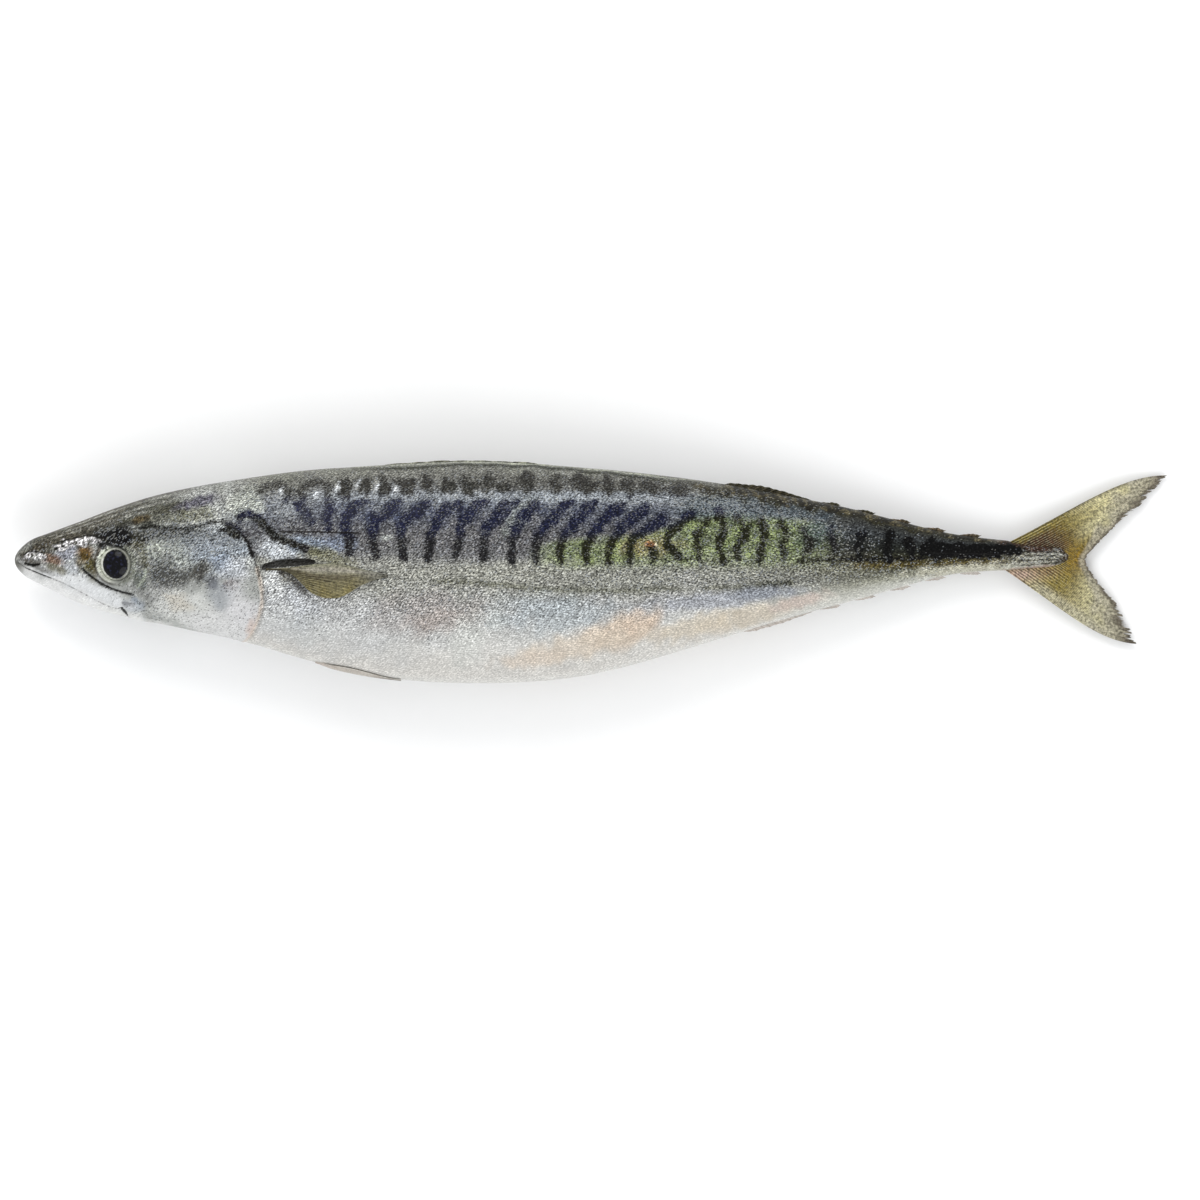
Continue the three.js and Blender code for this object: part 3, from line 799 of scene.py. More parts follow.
# Patches of the trunk, painted in turn: s, h, half length, half height, tilt, strength, colour
TRUNK_PATCHES = [
    (192, 4.5, 9, 3, 0, 0.5, (138, 116, 78)),
    (243, 8, 6, 3, 40, 0.4, (64, 84, 100)),
    (153, 13, 2.2, 6, -38, 0.6, (152, 158, 152)),
    (100, -20, 24, 8, -8, 0.6, (204, 205, 205)),
    (124, -16, 14, 6, 6, 0.6, (162, 155, 151)),
    (130, -18, 10, 3.4, 8, 0.25, (186, 166, 154)),
    (166, -16.5, 16, 5, 4, 0.7, (170, 177, 180)),
    (158, -13, 12, 3, 0, 0.4, (176, 184, 188)),
    (137.5, -24, 4.5, 7, -20, 0.75, (206, 207, 202)),
    (146, -17.5, 3, 3, 0, 0.5, (200, 206, 204)),
    (215, -12, 22, 2.4, 6, 0.6, (162, 166, 176)),
    (226, -9.6, 9, 2.0, 8, 0.6, (122, 128, 138)),
    (205, -4.5, 48, 4.4, 3, 0.4, (122, 123, 112)),
    (205, -7, 4, 3.2, 0, 0.5, (172, 172, 168)),
    (184, -21.5, 11, 4.6, 12, 0.9, (210, 193, 174)),
    (170, -26.0, 15, 3.4, 10, 0.75, (210, 197, 180)),
    (158, -29.5, 10, 2.4, 6, 0.7, (216, 203, 188)),
    (190, -18.0, 6, 3.0, 14, 0.6, (204, 184, 165)),
    (206, -20.0, 12, 3.2, 16, 0.65, (212, 200, 180)),
    (222, -17.2, 13, 3.0, 14, 0.65, (212, 199, 178)),
    (238, -12.6, 9, 1.8, 14, 0.75, (206, 190, 180)),
    (79.5, 3.2, 5.5, 3.0, -15, 0.8, (204, 209, 214)),
    (89, 4.4, 6, 2.4, -6, 0.7, (144, 158, 176)),
    (99, 5.0, 5, 2.4, -4, 0.55, (132, 144, 166)),
    (95, 1.0, 8, 2.2, -14, 0.7, (132, 131, 104)),
    (91, 2.8, 4, 1.2, -20, 0.7, (96, 94, 66)),
    (84, -14, 9, 6, -25, 0.7, (190, 194, 200)),
    (78, -7, 3.4, 5, 0, 0.8, (216, 218, 218)),
    (79.5, -17, 5, 7, -20, 0.8, (212, 213, 212)),
    (88, -21, 7, 5, -20, 0.5, (206, 208, 206)),
    (70.5, 16.5, 5.5, 4, 50, 0.8, (180, 184, 174)),
    (82, 15.5, 3.4, 3.2, 0, 0.5, (146, 150, 152)),
    (113, 6.6, 1.8, 0.7, 10, 0.7, (202, 206, 200)),
    (291, -2.9, 18, 1.8, 3, 0.8, (194, 191, 172)),
]

# Patches and pale streaks of the stem's end, where the flesh thins out between the roots of the tail's rays
TAIL_END_PATCHES = [
    (310, 0.6, 11, 3.0, 0, 0.95, (130, 127, 112)),
    (311, 5.6, 12, 2.6, -6, 0.97, (70, 49, 39)),
    (298, 6.8, 3.2, 1.2, -6, 0.6, (112, 108, 101)),
    (309, -3.0, 8, 1.0, 4, 0.85, (184, 156, 144)),
    (320.0, 1.4, 2.6, 3.0, 0, 0.85, (66, 52, 34)),
]
TAIL_END_STREAKS = [[(303, -1.4), (309, -1.0), (316, -0.2)], [(306, 0.6), (312, 0.7), (317, 0.9)],
                    [(309, 2.4), (313, 2.2), (318, 1.8)], [(300, -2.0), (306, -2.3), (312, -1.8)]]
TAIL_END_SPLITS = [[(302, 1.6), (309, 1.6), (317, 1.3)], [(304, -0.3), (311, -0.1), (318, 0.3)],
                   [(306, 3.2), (312, 3.2), (319, 2.2)], [(305, -1.8), (311, -1.6), (317, -0.8)]]

# Patches of the head
HEAD_PATCHES = [
    (30, 17, 44, 8, 25, 0.95, (96, 96, 88)),
    (20, 9, 22, 4, 28, 0.9, (88, 84, 73)),
    (44, 13.5, 10, 4, 15, 0.85, (84, 84, 72)),
    (38.6, 12.3, 2.2, 1.2, 20, 0.8, (100, 84, 52)),
    (34, 11.5, 1.8, 0.9, 20, 0.6, (72, 70, 56)),
    (55, 13.4, 6, 2.2, 8, 0.75, (104, 104, 82)),
    (50, 15.6, 7, 1.2, 8, 0.7, (78, 76, 62)),
    (56.5, 17.4, 6.5, 1.6, 14, 0.9, (92, 89, 102)),
    (67.5, 16, 4.5, 3.0, 50, 0.8, (180, 183, 174)),
    (47, 2.4, 10, 6.5, 0, 0.9, (154, 159, 154)),
    (42.6, 3.6, 4, 2.0, -10, 0.8, (188, 192, 180)),
    (62, 3, 8, 6.5, 0, 0.85, (152, 161, 172)),
    (54, 7.2, 9, 2.4, -4, 0.7, (92, 97, 102)),
    (46, -4.6, 7, 4.4, -10, 0.92, (78, 78, 75)),
    (42, -10.4, 7, 2.6, -20, 0.6, (122, 122, 120)),
    (36.2, -13.4, 3, 2.2, 0, 0.7, (150, 160, 174)),
    (57.0, -3.4, 2.4, 3.6, -30, 0.85, (66, 63, 56)),
    (60.5, -6.6, 2.6, 1.8, -40, 0.8, (84, 86, 92)),
    (66.2, -7, 2.0, 2.0, 0, 0.75, (104, 90, 88)),
    (63.4, -0.6, 3.0, 2.4, -20, 0.7, (128, 140, 158)),
    (66, 5.6, 3.6, 2.6, -40, 0.6, (92, 96, 98)),
    (67, -2.5, 4, 3, 0, 0.8, (196, 200, 206)),
    (63.5, -11, 5, 4.5, 0, 0.5, (164, 169, 178)),
    (51.5, -14.5, 10, 4.8, -16, 0.92, (222, 223, 219)),
    (50, -12.5, 4, 2.4, -20, 0.5, (214, 204, 186)),
    (69, -17, 6, 8, 0, 0.9, (226, 225, 226)),
    (62, -20.5, 9, 4.4, -16, 0.9, (226, 226, 225)),
    (21, -8.4, 16, 3.6, -26, 0.97, (234, 236, 237)),
    (16, -11.8, 18, 3.8, -25, 0.97, (244, 244, 243)),
    (34, -19, 18, 3, -17, 0.97, (240, 240, 237)),
    (8, -2.3, 4.2, 0.8, -26, 0.8, (126, 125, 122)),
    (15.8, 2.0, 3.0, 2.2, 10, 0.85, (178, 181, 192)),
    (17.6, -2.4, 2.2, 1.8, -20, 0.7, (196, 200, 206)),
    (11.8, -0.2, 2.9, 1.6, -14, 0.85, (124, 88, 60)),
    (13.0, -2.7, 3.2, 1.2, -20, 0.8, (110, 106, 82)),
    # painted shade in the crease under the snout's lip
    (5.2, -0.4, 3.0, 0.8, -14, 0.7, (66, 58, 48)),
    (21.4, 1.4, 2.6, 2.4, 18, 0.9, (112, 78, 18)),
    (22.6, -1.6, 2.2, 3.6, 24, 0.92, (78, 70, 20)),
    (21.8, 4.6, 1.6, 0.7, 20, 0.7, (70, 60, 46)),
    (6.0, 3.1, 5.0, 1.1, 26, 0.8, (72, 66, 54)),
    (33, 7.0, 9, 3.4, 0, 1.0, (10, 11, 10)),
    # painted shadow of the orbit's edge, in front of each eye
    (25.6, 1.6, 0.9, 4.2, -14, 0.8, (66, 56, 44)),
    (38.4, 2.4, 2.0, 5.6, 20, 0.8, (92, 90, 72)),
    (38.6, -5.6, 2.2, 3.0, -10, 0.8, (98, 103, 94)),
    (46, 8.2, 9, 1.8, 4, 0.85, (62, 63, 60)),
    (34.5, -13.2, 1.6, 0.8, -10, 0.6, (84, 86, 92)),
]

# Painted highlights of wet glare on the snout and brow
GLARE = [[(3.0, 0.6), (5.0, 1.7), (7.2, 1.5), (9.6, 1.0)], [(6.4, 0.7), (7.6, 0.8)],
         [(12.6, 4.2), (16.0, 5.0), (19.4, 6.0), (22.6, 6.3), (25.4, 5.8), (27.4, 4.9)],
         [(13.4, 3.4), (15.2, 3.2), (17.4, 4.4)], [(19.0, 4.8), (22.0, 5.2)]]

# Wet glints between the blotches of the upper back: s, h
WET_GLINTS = [(81.2, 21.1), (91.9, 19.6), (98.5, 22.0), (104.3, 22.8), (110.5, 21.6), (115.9, 21.1)]

# Lines of colour on the skin
OLIVE_STREAK = [(256, -1.6), (280, -1.2), (300, -0.5)]
LOWER_STRIPE = [(128, -6.4), (140, -6.8), (160, -8.6), (180, -9.2), (200, -8.4), (215, -8.2), (236, -6.6)]
CHEEK_GLEAM = [(40.2, -2.6), (39.6, -5.4), (37.6, -8.0)]
SCRATCH = [(195.2, 5.2), (194.3, 3.2), (192.4, 1.9)]
FIN_SHADOW = [(81, -3.4), (84.4, -5.8), (88.6, -9.6)]

# Where pale and dark specks crowd, the pale ones painted glints: s, h, half length, half height, tilt, pale
# share, dark share
SPECKS = [
    (104, 22.0, 1.2, 1.4, -30, 0.5, 0.0), (110, 22.3, 1.2, 1.6, -30, 0.6, 0.0),
    (115.8, 21.6, 1.3, 1.3, 0, 0.5, 0.0), (122.4, 21.2, 1.2, 1.4, 0, 0.4, 0.0),
    (80.4, 19.3, 2.0, 1.8, 0, 0.5, 0.0), (97.6, 21.4, 1.3, 1.4, 0, 0.5, 0.0),
    (91.5, 19.6, 2.0, 1.6, 0, 0.35, 0.0), (218, 15.5, 24, 3.0, -12, 0.4, 0.26),
    (248, 9.5, 12, 2.4, -18, 0.16, 0.0), (150, 17.8, 52, 2.6, 0, 0.2, 0.08),
    (140, 9, 50, 8, 0, 0.08, 0.0), (222, 5, 30, 6, 0, 0.1, 0.16),
    (126, -14, 15, 8, 4, 0.05, 0.22), (220, -2, 50, 6, 4, 0.14, 0.16),
    (46, -3, 9, 6, -10, 0.3, 0.4), (54, 6, 13, 4.4, 0, 0.4, 0.45),
    (57.5, -4.6, 4, 3, -40, 0.08, 0.4), (66, -7, 3, 3, 0, 0.12, 0.26),
    (41, -12, 9, 5, -20, 0.1, 0.3), (52, -15, 12, 6, -16, 0.03, 0.14),
    (70, -14, 5, 9, 0, 0.03, 0.16), (33, 7, 9, 2.6, 0, 0.26, 0.2),
    (47, 3, 9, 5, 0, 0.2, 0.3), (14, 0.5, 11, 4.0, -10, 0.16, 0.4),
    (46, 9.0, 10, 1.2, 4, 0.2, 0.4), (54, 16.2, 5.5, 0.5, 12, 0.5, 0.0),
    (56, 12.8, 7, 2.4, 8, 0.35, 0.3), (69, 15, 6, 4.5, 50, 0.2, 0.1),
    (63, 2, 7, 5, 0, 0.3, 0.3), (80, 5, 6, 4, -10, 0.1, 0.16),
    (88, -13, 12, 8, 0, 0.04, 0.2), (24, 8, 12, 3, 25, 0.05, 0.2),
    (40, 14, 16, 4, 24, 0.04, 0.2), (80, 13, 12, 8, 0, 0.12, 0.12),
    (313, 1.2, 9, 3.4, 0, 0.35, 0.45), (280, -3, 24, 3, 4, 0.12, 0.16),
]


def painted(colour, patches):
    """A colour with patches painted on it, one after another."""
    for s, h, length, height, tilt, strength, shade in patches:
        colour = lay(shade, colour, strength * patch(s, h, length, height, tilt, 0.55))
    return colour


def green_zone():
    """Green between the bars, from the middle of the flank to near the tail."""
    top = curve([150, 160, 175, 195, 208, 240, 256, 270], [1, 4.0, 6.0, 8.0, 13.0, 11.5, 8, 3])(S)
    return between(S, 154, 168, 232, 254) * smooth(top + 1.8, top - 1.2, H) * smooth(-4.0, 0.5, H)


def olive_ridge(colour):
    """The olive back towards the tail, lumpy at the roots of the finlets."""
    start = S + 7 * drift(S, ROUND, 10, 16)
    olive = smooth(200, 222, start) * smooth(0.78, 0.88, LEVEL + 0.06 * drift(S, ROUND, 6, 14))
    colour = lay((50, 48, 32), colour, 0.92 * olive)
    shaded = smooth(204, 222, start) * smooth(0.84, 0.9, LEVEL + 0.05 * drift(S, ROUND, 5, 15))
    shaded = shaded * smooth(304, 296, S)
    lumps = smooth(-0.1, 0.7, drift(S, ROUND, 4.4, 81) + 0.5 * drift(S, ROUND, 1.9, 82))
    lumpy = lay((104, 96, 70), plain(S.shape, (30, 27, 16)), 0.85 * lumps)
    return colour + (lumpy - colour) * 0.85 * shaded[..., None]


def folded_fin(colour):
    """The folded first dorsal fin shows as a dark thread along the back with a pale one above it, a painted
    highlight, on the upper flank only.
    """
    drop = BACK - H
    fold = between(S, 96, 116, 190, 214)
    wobble = 0.35 * drift(S, 0.2 * ROUND, 17, 61)
    wear_and_sheen = 0.5 + 0.4 * drift(S, 0.4 * ROUND, 9, 62) + 0.4 * drift(S, 4 * ROUND, 4.0, 63)
    pale = wear_and_sheen * (SIDE == LEFT)
    return coated(colour, [
        (0.95 * fold * peak(drop - 1.1 - wobble, 0.5), (36, 38, 20)),
        # the pale thread is a painted highlight
        (0.72 * fold * pale * peak(drop - 0.33 - 0.5 * wobble, 0.16), (222, 226, 202)),
    ])


def trunk_colour():
    """Bands from belly to back, then haze, green, silver and olive on them, and patches over all."""
    to_tail = smooth(205, 268, S)[..., None]
    colour = banded(TRUNK_BANDS) * (1 - to_tail) + banded(TAIL_BANDS) * to_tail
    bar_zone = between(H, -1.5, 1.5, 12, 15.5) * between(S, 118, 128, 160, 176)
    haze = between(H, 8.5, 12, 16.5, 19) * between(S, 90, 104, 186, 202)
    haze *= 0.34 + 0.22 * smooth(146, 132, S)
    green = green_zone()
    silver_blue = between(H, 16.2, 18, 19.4, 21) * between(S, 82, 95, 196, 212)
    slate = between(H, 11, 13.5, 18, 20.5) * between(S, 196, 208, 236, 258)
    smoky = between(H, 19.8, 21.4, 24.2, 25.6) * between(S, 120, 140, 210, 226)
    colour = coated(colour, [
        (0.35 * bar_zone * (0.8 + 0.6 * drift(S, H, 7, 6)), (96, 95, 98)),
        (haze * (0.75 + 0.6 * drift(S, H, 5, 7)), (66, 72, 92)),
        (0.95 * green * (0.85 + 0.3 * drift(S, H, 6, 5)), (138, 150, 102)),
        (0.55 * green * smooth(0.1, 0.8, drift(S, H, 4, 6)), (76, 86, 58)),
        (0.85 * stroke(OLIVE_STREAK, 0.8, 1.2, wander=0.4), (84, 72, 26)),
        ((0.45 + 0.42 * smooth(135, 160, S)) * silver_blue, (146, 152, 158)),
        (0.8 * slate, (78, 88, 94)),
        (0.5 * smoky, (92, 91, 86)),
    ])
    colour = folded_fin(olive_ridge(colour))
    colour = lay((168, 168, 156), colour, 0.4 * patch(146, -3.6, 19, 2.2, 0, 0.7))
    colour = lay((92, 92, 74), colour, 0.75 * stroke(LOWER_STRIPE, 0.55, 1.1, taper=0.5, wander=0.5))
    colour = painted(colour, TRUNK_PATCHES)
    broken = smooth(-0.7, 0.1, drift(S, H, 0.9, 72))
    for s, h in WET_GLINTS:
        colour = lay((236, 240, 244), colour, 0.85 * broken * patch(s, h, 1.3, 0.75, 60, 0.45, LEFT))
    # The belly's very edge is painted paler: a painted highlight along its rim.
    return lay((226, 225, 220), colour, 0.7 * smooth(-0.93, -1.0, LEVEL))


def head_colour():
    """Patches, streaks along the crown, and glare."""
    colour = painted(plain(S.shape, (176, 178, 174)), HEAD_PATCHES)
    for k, level in enumerate((0.95, 0.86, 0.77)):  # pale streaks along the crown
        streak = peak(LEVEL - level, 0.02) * between(S, 8, 16, 50 - 8 * k, 62 - 8 * k)
        colour = lay((164, 164, 156), colour, 0.8 * streak * (0.8 + 0.5 * drift(S, H, 5, 30 + k)))
    broken = smooth(-0.7, -0.1, drift(S, H, 1.4, 71))
    for points in GLARE:
        glare = stroke(points, 0.55, 0.4, taper=0.4, wander=0.6)
        colour = lay((250, 247, 248), colour, 1.2 * broken * glare)
    return colour


def skin_colour():
    """Head and trunk together, with the gill edge, eye rims, tail end and small marks on them. The dark ring
    before each eye is a painted shadow of the orbit's edge.
    """
    head = HEAD[..., None]
    colour = head_colour() * head + trunk_colour() * (1 - head)
    colour = coated(colour, [
        (0.6 * stroke(GILL_EDGE[5:], 0.3, 0.6, taper=0.4, wander=0.2), (230, 212, 194)),
        (0.4 * patch(72.0, -19.5, 1.1, 2.6, -20, 0.6), (212, 178, 156)),
        (0.7 * eye_surround(0.0, 1.6) * smooth(29, 34, S), (112, 115, 100)),
        # a painted shadow of the orbit's edge, in front of each eye
        (0.8 * eye_surround(0.5, 1.3) * smooth(29, 25, S + 0.5 * H), (56, 50, 38)),
        (0.95 * eye_surround(-0.6, 0.5) * smooth(32, 28, S) * smooth(5.4, 3.0, H), (222, 225, 212)),
        (0.95 * patch(31.4, 5.8, 6.0, 2.5, 6, 0.35), (6, 6, 6)),
    ])
    colour = painted(colour, TAIL_END_PATCHES)
    for points in TAIL_END_STREAKS:
        colour = lay((196, 196, 184), colour, 0.6 * stroke(points, 0.3, 0.6, taper=0.4, wander=0.5))
    return coated(colour, [
        (0.65 * stroke(CHEEK_GLEAM, 0.25, 0.4, wander=0.2), (196, 204, 188)),
        (0.65 * patch(193.2, 4.6, 1.3, 1.1, 0, 0.5, LEFT), (168, 96, 66)),
        (stroke(SCRATCH, 0.12, 0.3, LEFT), (226, 222, 190)),
        (0.85 * stroke(FIN_SHADOW, 1.3, 1.3, taper=0.5), (58, 53, 45)),
    ])


def dark_marks():
    """How dark the bars and the other broad marks are."""
    return np.maximum.reduce([
        bars(LEFT) + bars(RIGHT),
        1.3 * stroke(SHOULDER, 1.3, 1.2, taper=0.3, tip_width=1.1, wander=0.5),
        1.05 * stroke(GILL_EDGE[:5], 1.0, 1.0, taper=0.3, tip_width=0.1, wander=0.5),
        0.9 * stroke(CHEEK_TOP, 0.3, 0.9, taper=0.2, wander=0.6),
        # painted shade in the snout's crease
        stroke(SNOUT_CREASE, 0.4, 0.4, taper=0.4, wander=0.3),
        0.9 * stroke(UNDER_EYE, 0.3, 0.6, taper=0.5, wander=0.3),
        1.1 * stroke([(63, 9.0), (66, 8.8), (68.4, 7.0)], 1.3, 0.9, taper=0.3, wander=0.6),
    ])


def mark_colour():
    """Navy bars with blacker feet, olive among the green and black near the tail, under grey blotches."""
    olive = np.maximum(green_zone(), smooth(5, 0, H) * smooth(200, 230, S))
    near_head = patch(78, 10, 13, 6, -30, 0.4) * smooth(12.5, 10.5, H - 0.02 * S)
    return coated(plain(S.shape, (28, 31, 54)), [
        (smooth(9.5, 5, H), (36, 35, 37)),
        (olive, (34, 35, 18)),
        (smooth(240, 262, S), (8, 8, 8)),
        (smooth(17.6, 20.0, H), (58, 57, 53)),
        (np.maximum(HEAD, near_head), (24, 24, 19)),
    ])


def thin_lines():
    """How dark the thin lines are: mouth, gill cover, fin slot, lateral line, nostrils and fin roots. The
    dark of the fin slot and the snout's crease is painted shade in them.
    """
    lines = [strength * stroke(points, width, 0.35, taper=0.35) for points, width, strength in (
        (MOUTH, 0.08, 0.55), (MOUTH[1:4], 0.2, 0.8), (MOUTH_CORNER, 0.2, 1.0), (UNDER_EYE, 0.15, 0.8),
        (GILL_EDGE[:7], 0.15, 0.8), (FIN_SLOT, 0.95, 2.2), (LATERAL_LINE[:3], 0.22, 1.0),
        (PREOPERCLE[3:], 0.05, 0.35), (JAW_LINE, 0.05, 0.2))]
    lines.append(0.35 * stroke(LATERAL_LINE[2:], 0.05, 0.45))
    lines += [patch(s, h, 0.55, 0.45, 25, 0.4) for s, h in NOSTRILS]
    lines += [0.6 * stroke(points, 0.2, 0.6, taper=0.4, wander=0.4) for points in TAIL_END_SPLITS]
    lines += [0.8 * stroke(points, 0.2, 0.4, taper=0.4) for points in (SNOUT_CREASE, *BROW_LINES)]
    lines.append(peak(ARC, 0.5) * between(S, 100, 112, 150, 170))
    return np.maximum.reduce(lines)


SCALE_LENGTH, SCALE_HEIGHT = 0.92, 0.76


def body_values():
    """What the skin's finish takes from every point, with shares of pale and dark (pepper) specks. The pale
    specks are painted glints of single scales.
    """
    grain = 0.35 + 0.55 * smooth(-0.78, -0.35, LEVEL) + 0.22 * smooth(-0.5, -0.15, LEVEL)
    grain = grain * (1 - HEAD) + HEAD * (0.16 + 1.0 * smooth(-0.4, 0.05, LEVEL))
    glint_salt = (0.01 + 0.14 * smooth(-0.75, -0.2, LEVEL)) * (1 - 0.7 * HEAD)
    glint_salt = glint_salt * (1 - 0.8 * smooth(232, 262, S) * smooth(-0.1, 0.2, LEVEL))
    pepper = (0.01 + 0.12 * smooth(-0.7, -0.25, LEVEL)) * (1 - 0.5 * HEAD)
    for s, h, length, height, tilt, pale, dark in SPECKS:
        crowd = patch(s, h, length, height, tilt, 0.6)
        glint_salt = glint_salt + pale * crowd
        pepper = pepper + dark * crowd
    scale_row = ARC / SCALE_HEIGHT
    return {
        "pigment": np.clip(skin_colour(), 0.003, 0.9),
        "mark": dark_marks(),
        "mark_pigment": np.clip(mark_colour(), 0.002, 1),
        "line": thin_lines(),
        "grain": grain,
        "silver": 0.08 + 0.14 * smooth(0.2, -0.4, LEVEL),
        "glint_salt": glint_salt,
        "pepper": pepper,
        "scale_map": np.stack([S / SCALE_LENGTH + 0.5 * scale_row, scale_row, 0 * S], axis=-1),
    }


def eye_surround(inner, outer):
    """1 in a ring round each eye, from inner to outer millimetres outside the eyeball."""
    ring = np.zeros(S.shape)
    for side, (centre, axis, radius) in EYES.items():
        offset = raw - centre
        away = np.linalg.norm(offset - (offset @ axis)[..., None] * axis, axis=-1) - radius
        mask = smooth(inner - 0.3, inner + 0.1, away) * smooth(outer + 0.4, outer - 0.2, away)
        ring += np.where((SIDE == side) & (S < EYE_REGION_END), mask, 0)
    return ring


points, faces, values = capped(skin_points, body_values())
make_piece("mackerel_body", points, faces, values, skin_finish(), "body")


# -------------------- eyes

PUPIL = (4.0, 4.55)  # half width and half height
EYE_RINGS, EYE_COLUMNS = 40, 72


def make_eye(side, node):
    """A flattened ball. The lens bulges, and a fine groove runs round the pupil."""
    centre, axis, radius = EYES[side]
    ahead = np.cross([0, 1, 0], axis)
    ahead /= np.linalg.norm(ahead)
    ahead = ahead * np.sign(ahead[0])
    up = np.cross(axis, ahead)
    up = up * np.sign(up[1])
    half_thickness = np.abs((node_points(node) - centre) @ axis).max()
    share = np.linspace(0.02, 1, EYE_RINGS) ** 0.8
    tilt = np.concatenate([share, 2 - share[::-1][1:]]) * math.pi / 2
    spin = np.arange(EYE_COLUMNS) * 2 * math.pi / EYE_COLUMNS
    T, P = np.meshgrid(tilt, spin, indexing="ij")
    x, y = radius * np.sin(T) * np.cos(P), radius * np.sin(T) * np.sin(P)
    z = half_thickness * np.cos(T)
    pupil = np.hypot((x - 0.1) / PUPIL[0], (y + 0.1) / PUPIL[1])
    z += np.where(z > 0, 0.12 * smooth(1.0, 0.5, pupil) - 0.22 * peak(pupil - 1.02, 0.05), 0)
    points = centre + x[..., None] * ahead + y[..., None] * up + z[..., None] * axis
    shade = smooth(0.1, 0.9, np.cos(P - math.radians(20))) * 0.6
    points, faces, values = capped(points, {
        "disc": np.stack([x, y, z], axis=-1) / radius,
        "from_pupil": pupil,
        "shade": shade,
        "rim": np.hypot(x, y) / radius,
    })
    make_piece("mackerel_" + node, points, faces, values, EYE_FINISH, node)


EYE_FINISH = eye_finish()
make_eye(LEFT, "left_eye")
make_eye(RIGHT, "right_eye")


# -------------------- fins

OLIVE_RAYS = fin_finish("olive_fin_rays", pigment(62, 56, 38), pigment(188, 184, 156), 0.4, 3.0, 0.55)
DARK_RAYS = fin_finish("dark_fin_rays", pigment(26, 25, 16), pigment(150, 140, 108), 0.4, 3.0, 0.7)
PALE_RAYS = fin_finish("pale_fin_rays", pigment(164, 148, 138), pigment(230, 226, 220), 0.3, 2.2, 0.15)
TAIL_RAYS = fin_finish("tail_fin_rays", pigment(56, 48, 28), pigment(246, 238, 196), 0.6, 3.2, 0.6)


def fin_colours(shape, base, coats):
    """A grid of colour: a base with coats of (share, colour) on it."""
    return np.clip(coated(plain(shape, base), coats), 0.003, 0.9)


def make_fin(node, middle, normal, thickness, ray, reach, colour, material, joint_length=0.9):
    """A fin from a grid of middle points. Jointed rays run along the grid's lines of equal ray."""
    points, faces = plate(middle, normal, thickness)
    length = np.linalg.norm(middle[-1] - middle[0], axis=-1).max()
    joint = reach * length / joint_length + 7 * np.sin(2.7 * np.round(ray))  # each ray's joints are its own
    joints = np.stack([2.2 * ray, joint, 0 * ray], axis=-1)
    values = {"pigment": doubled(colour), "ray": doubled(ray), "reach": doubled(reach),
              "fin_map": doubled(middle), "joint_map": doubled(joints)}
    make_piece("mackerel_" + node, points, faces, values, material, node)


def uv_grid(rows, columns):
    """Two grids of numbers from 0 to 1."""
    return np.meshgrid(np.linspace(0, 1, rows), np.linspace(0, 1, columns), indexing="ij")


# Tail fin: u runs from the upper lobe's front edge to the lower one's, v from the flesh to the margin
TAIL_BASE = [(301.6, 5.2), (308.6, 3.2), (315.2, 2.1), (318.2, 1.0), (315.4, -0.2), (308.2, -1.6),
             (300.0, -2.4)]
TAIL_MARGIN = [(350.5, 25.8), (347.2, 20.7), (342.8, 16.7), (336.6, 11.5), (330.4, 5.6), (325.8, 0.2),
               (328.8, -5.2), (333.7, -10.9), (337.8, -16.5), (340.2, -21.5), (341.4, -25.5)]
TAIL_BOW = 5.9
TAIL_RAYS_ACROSS = 42


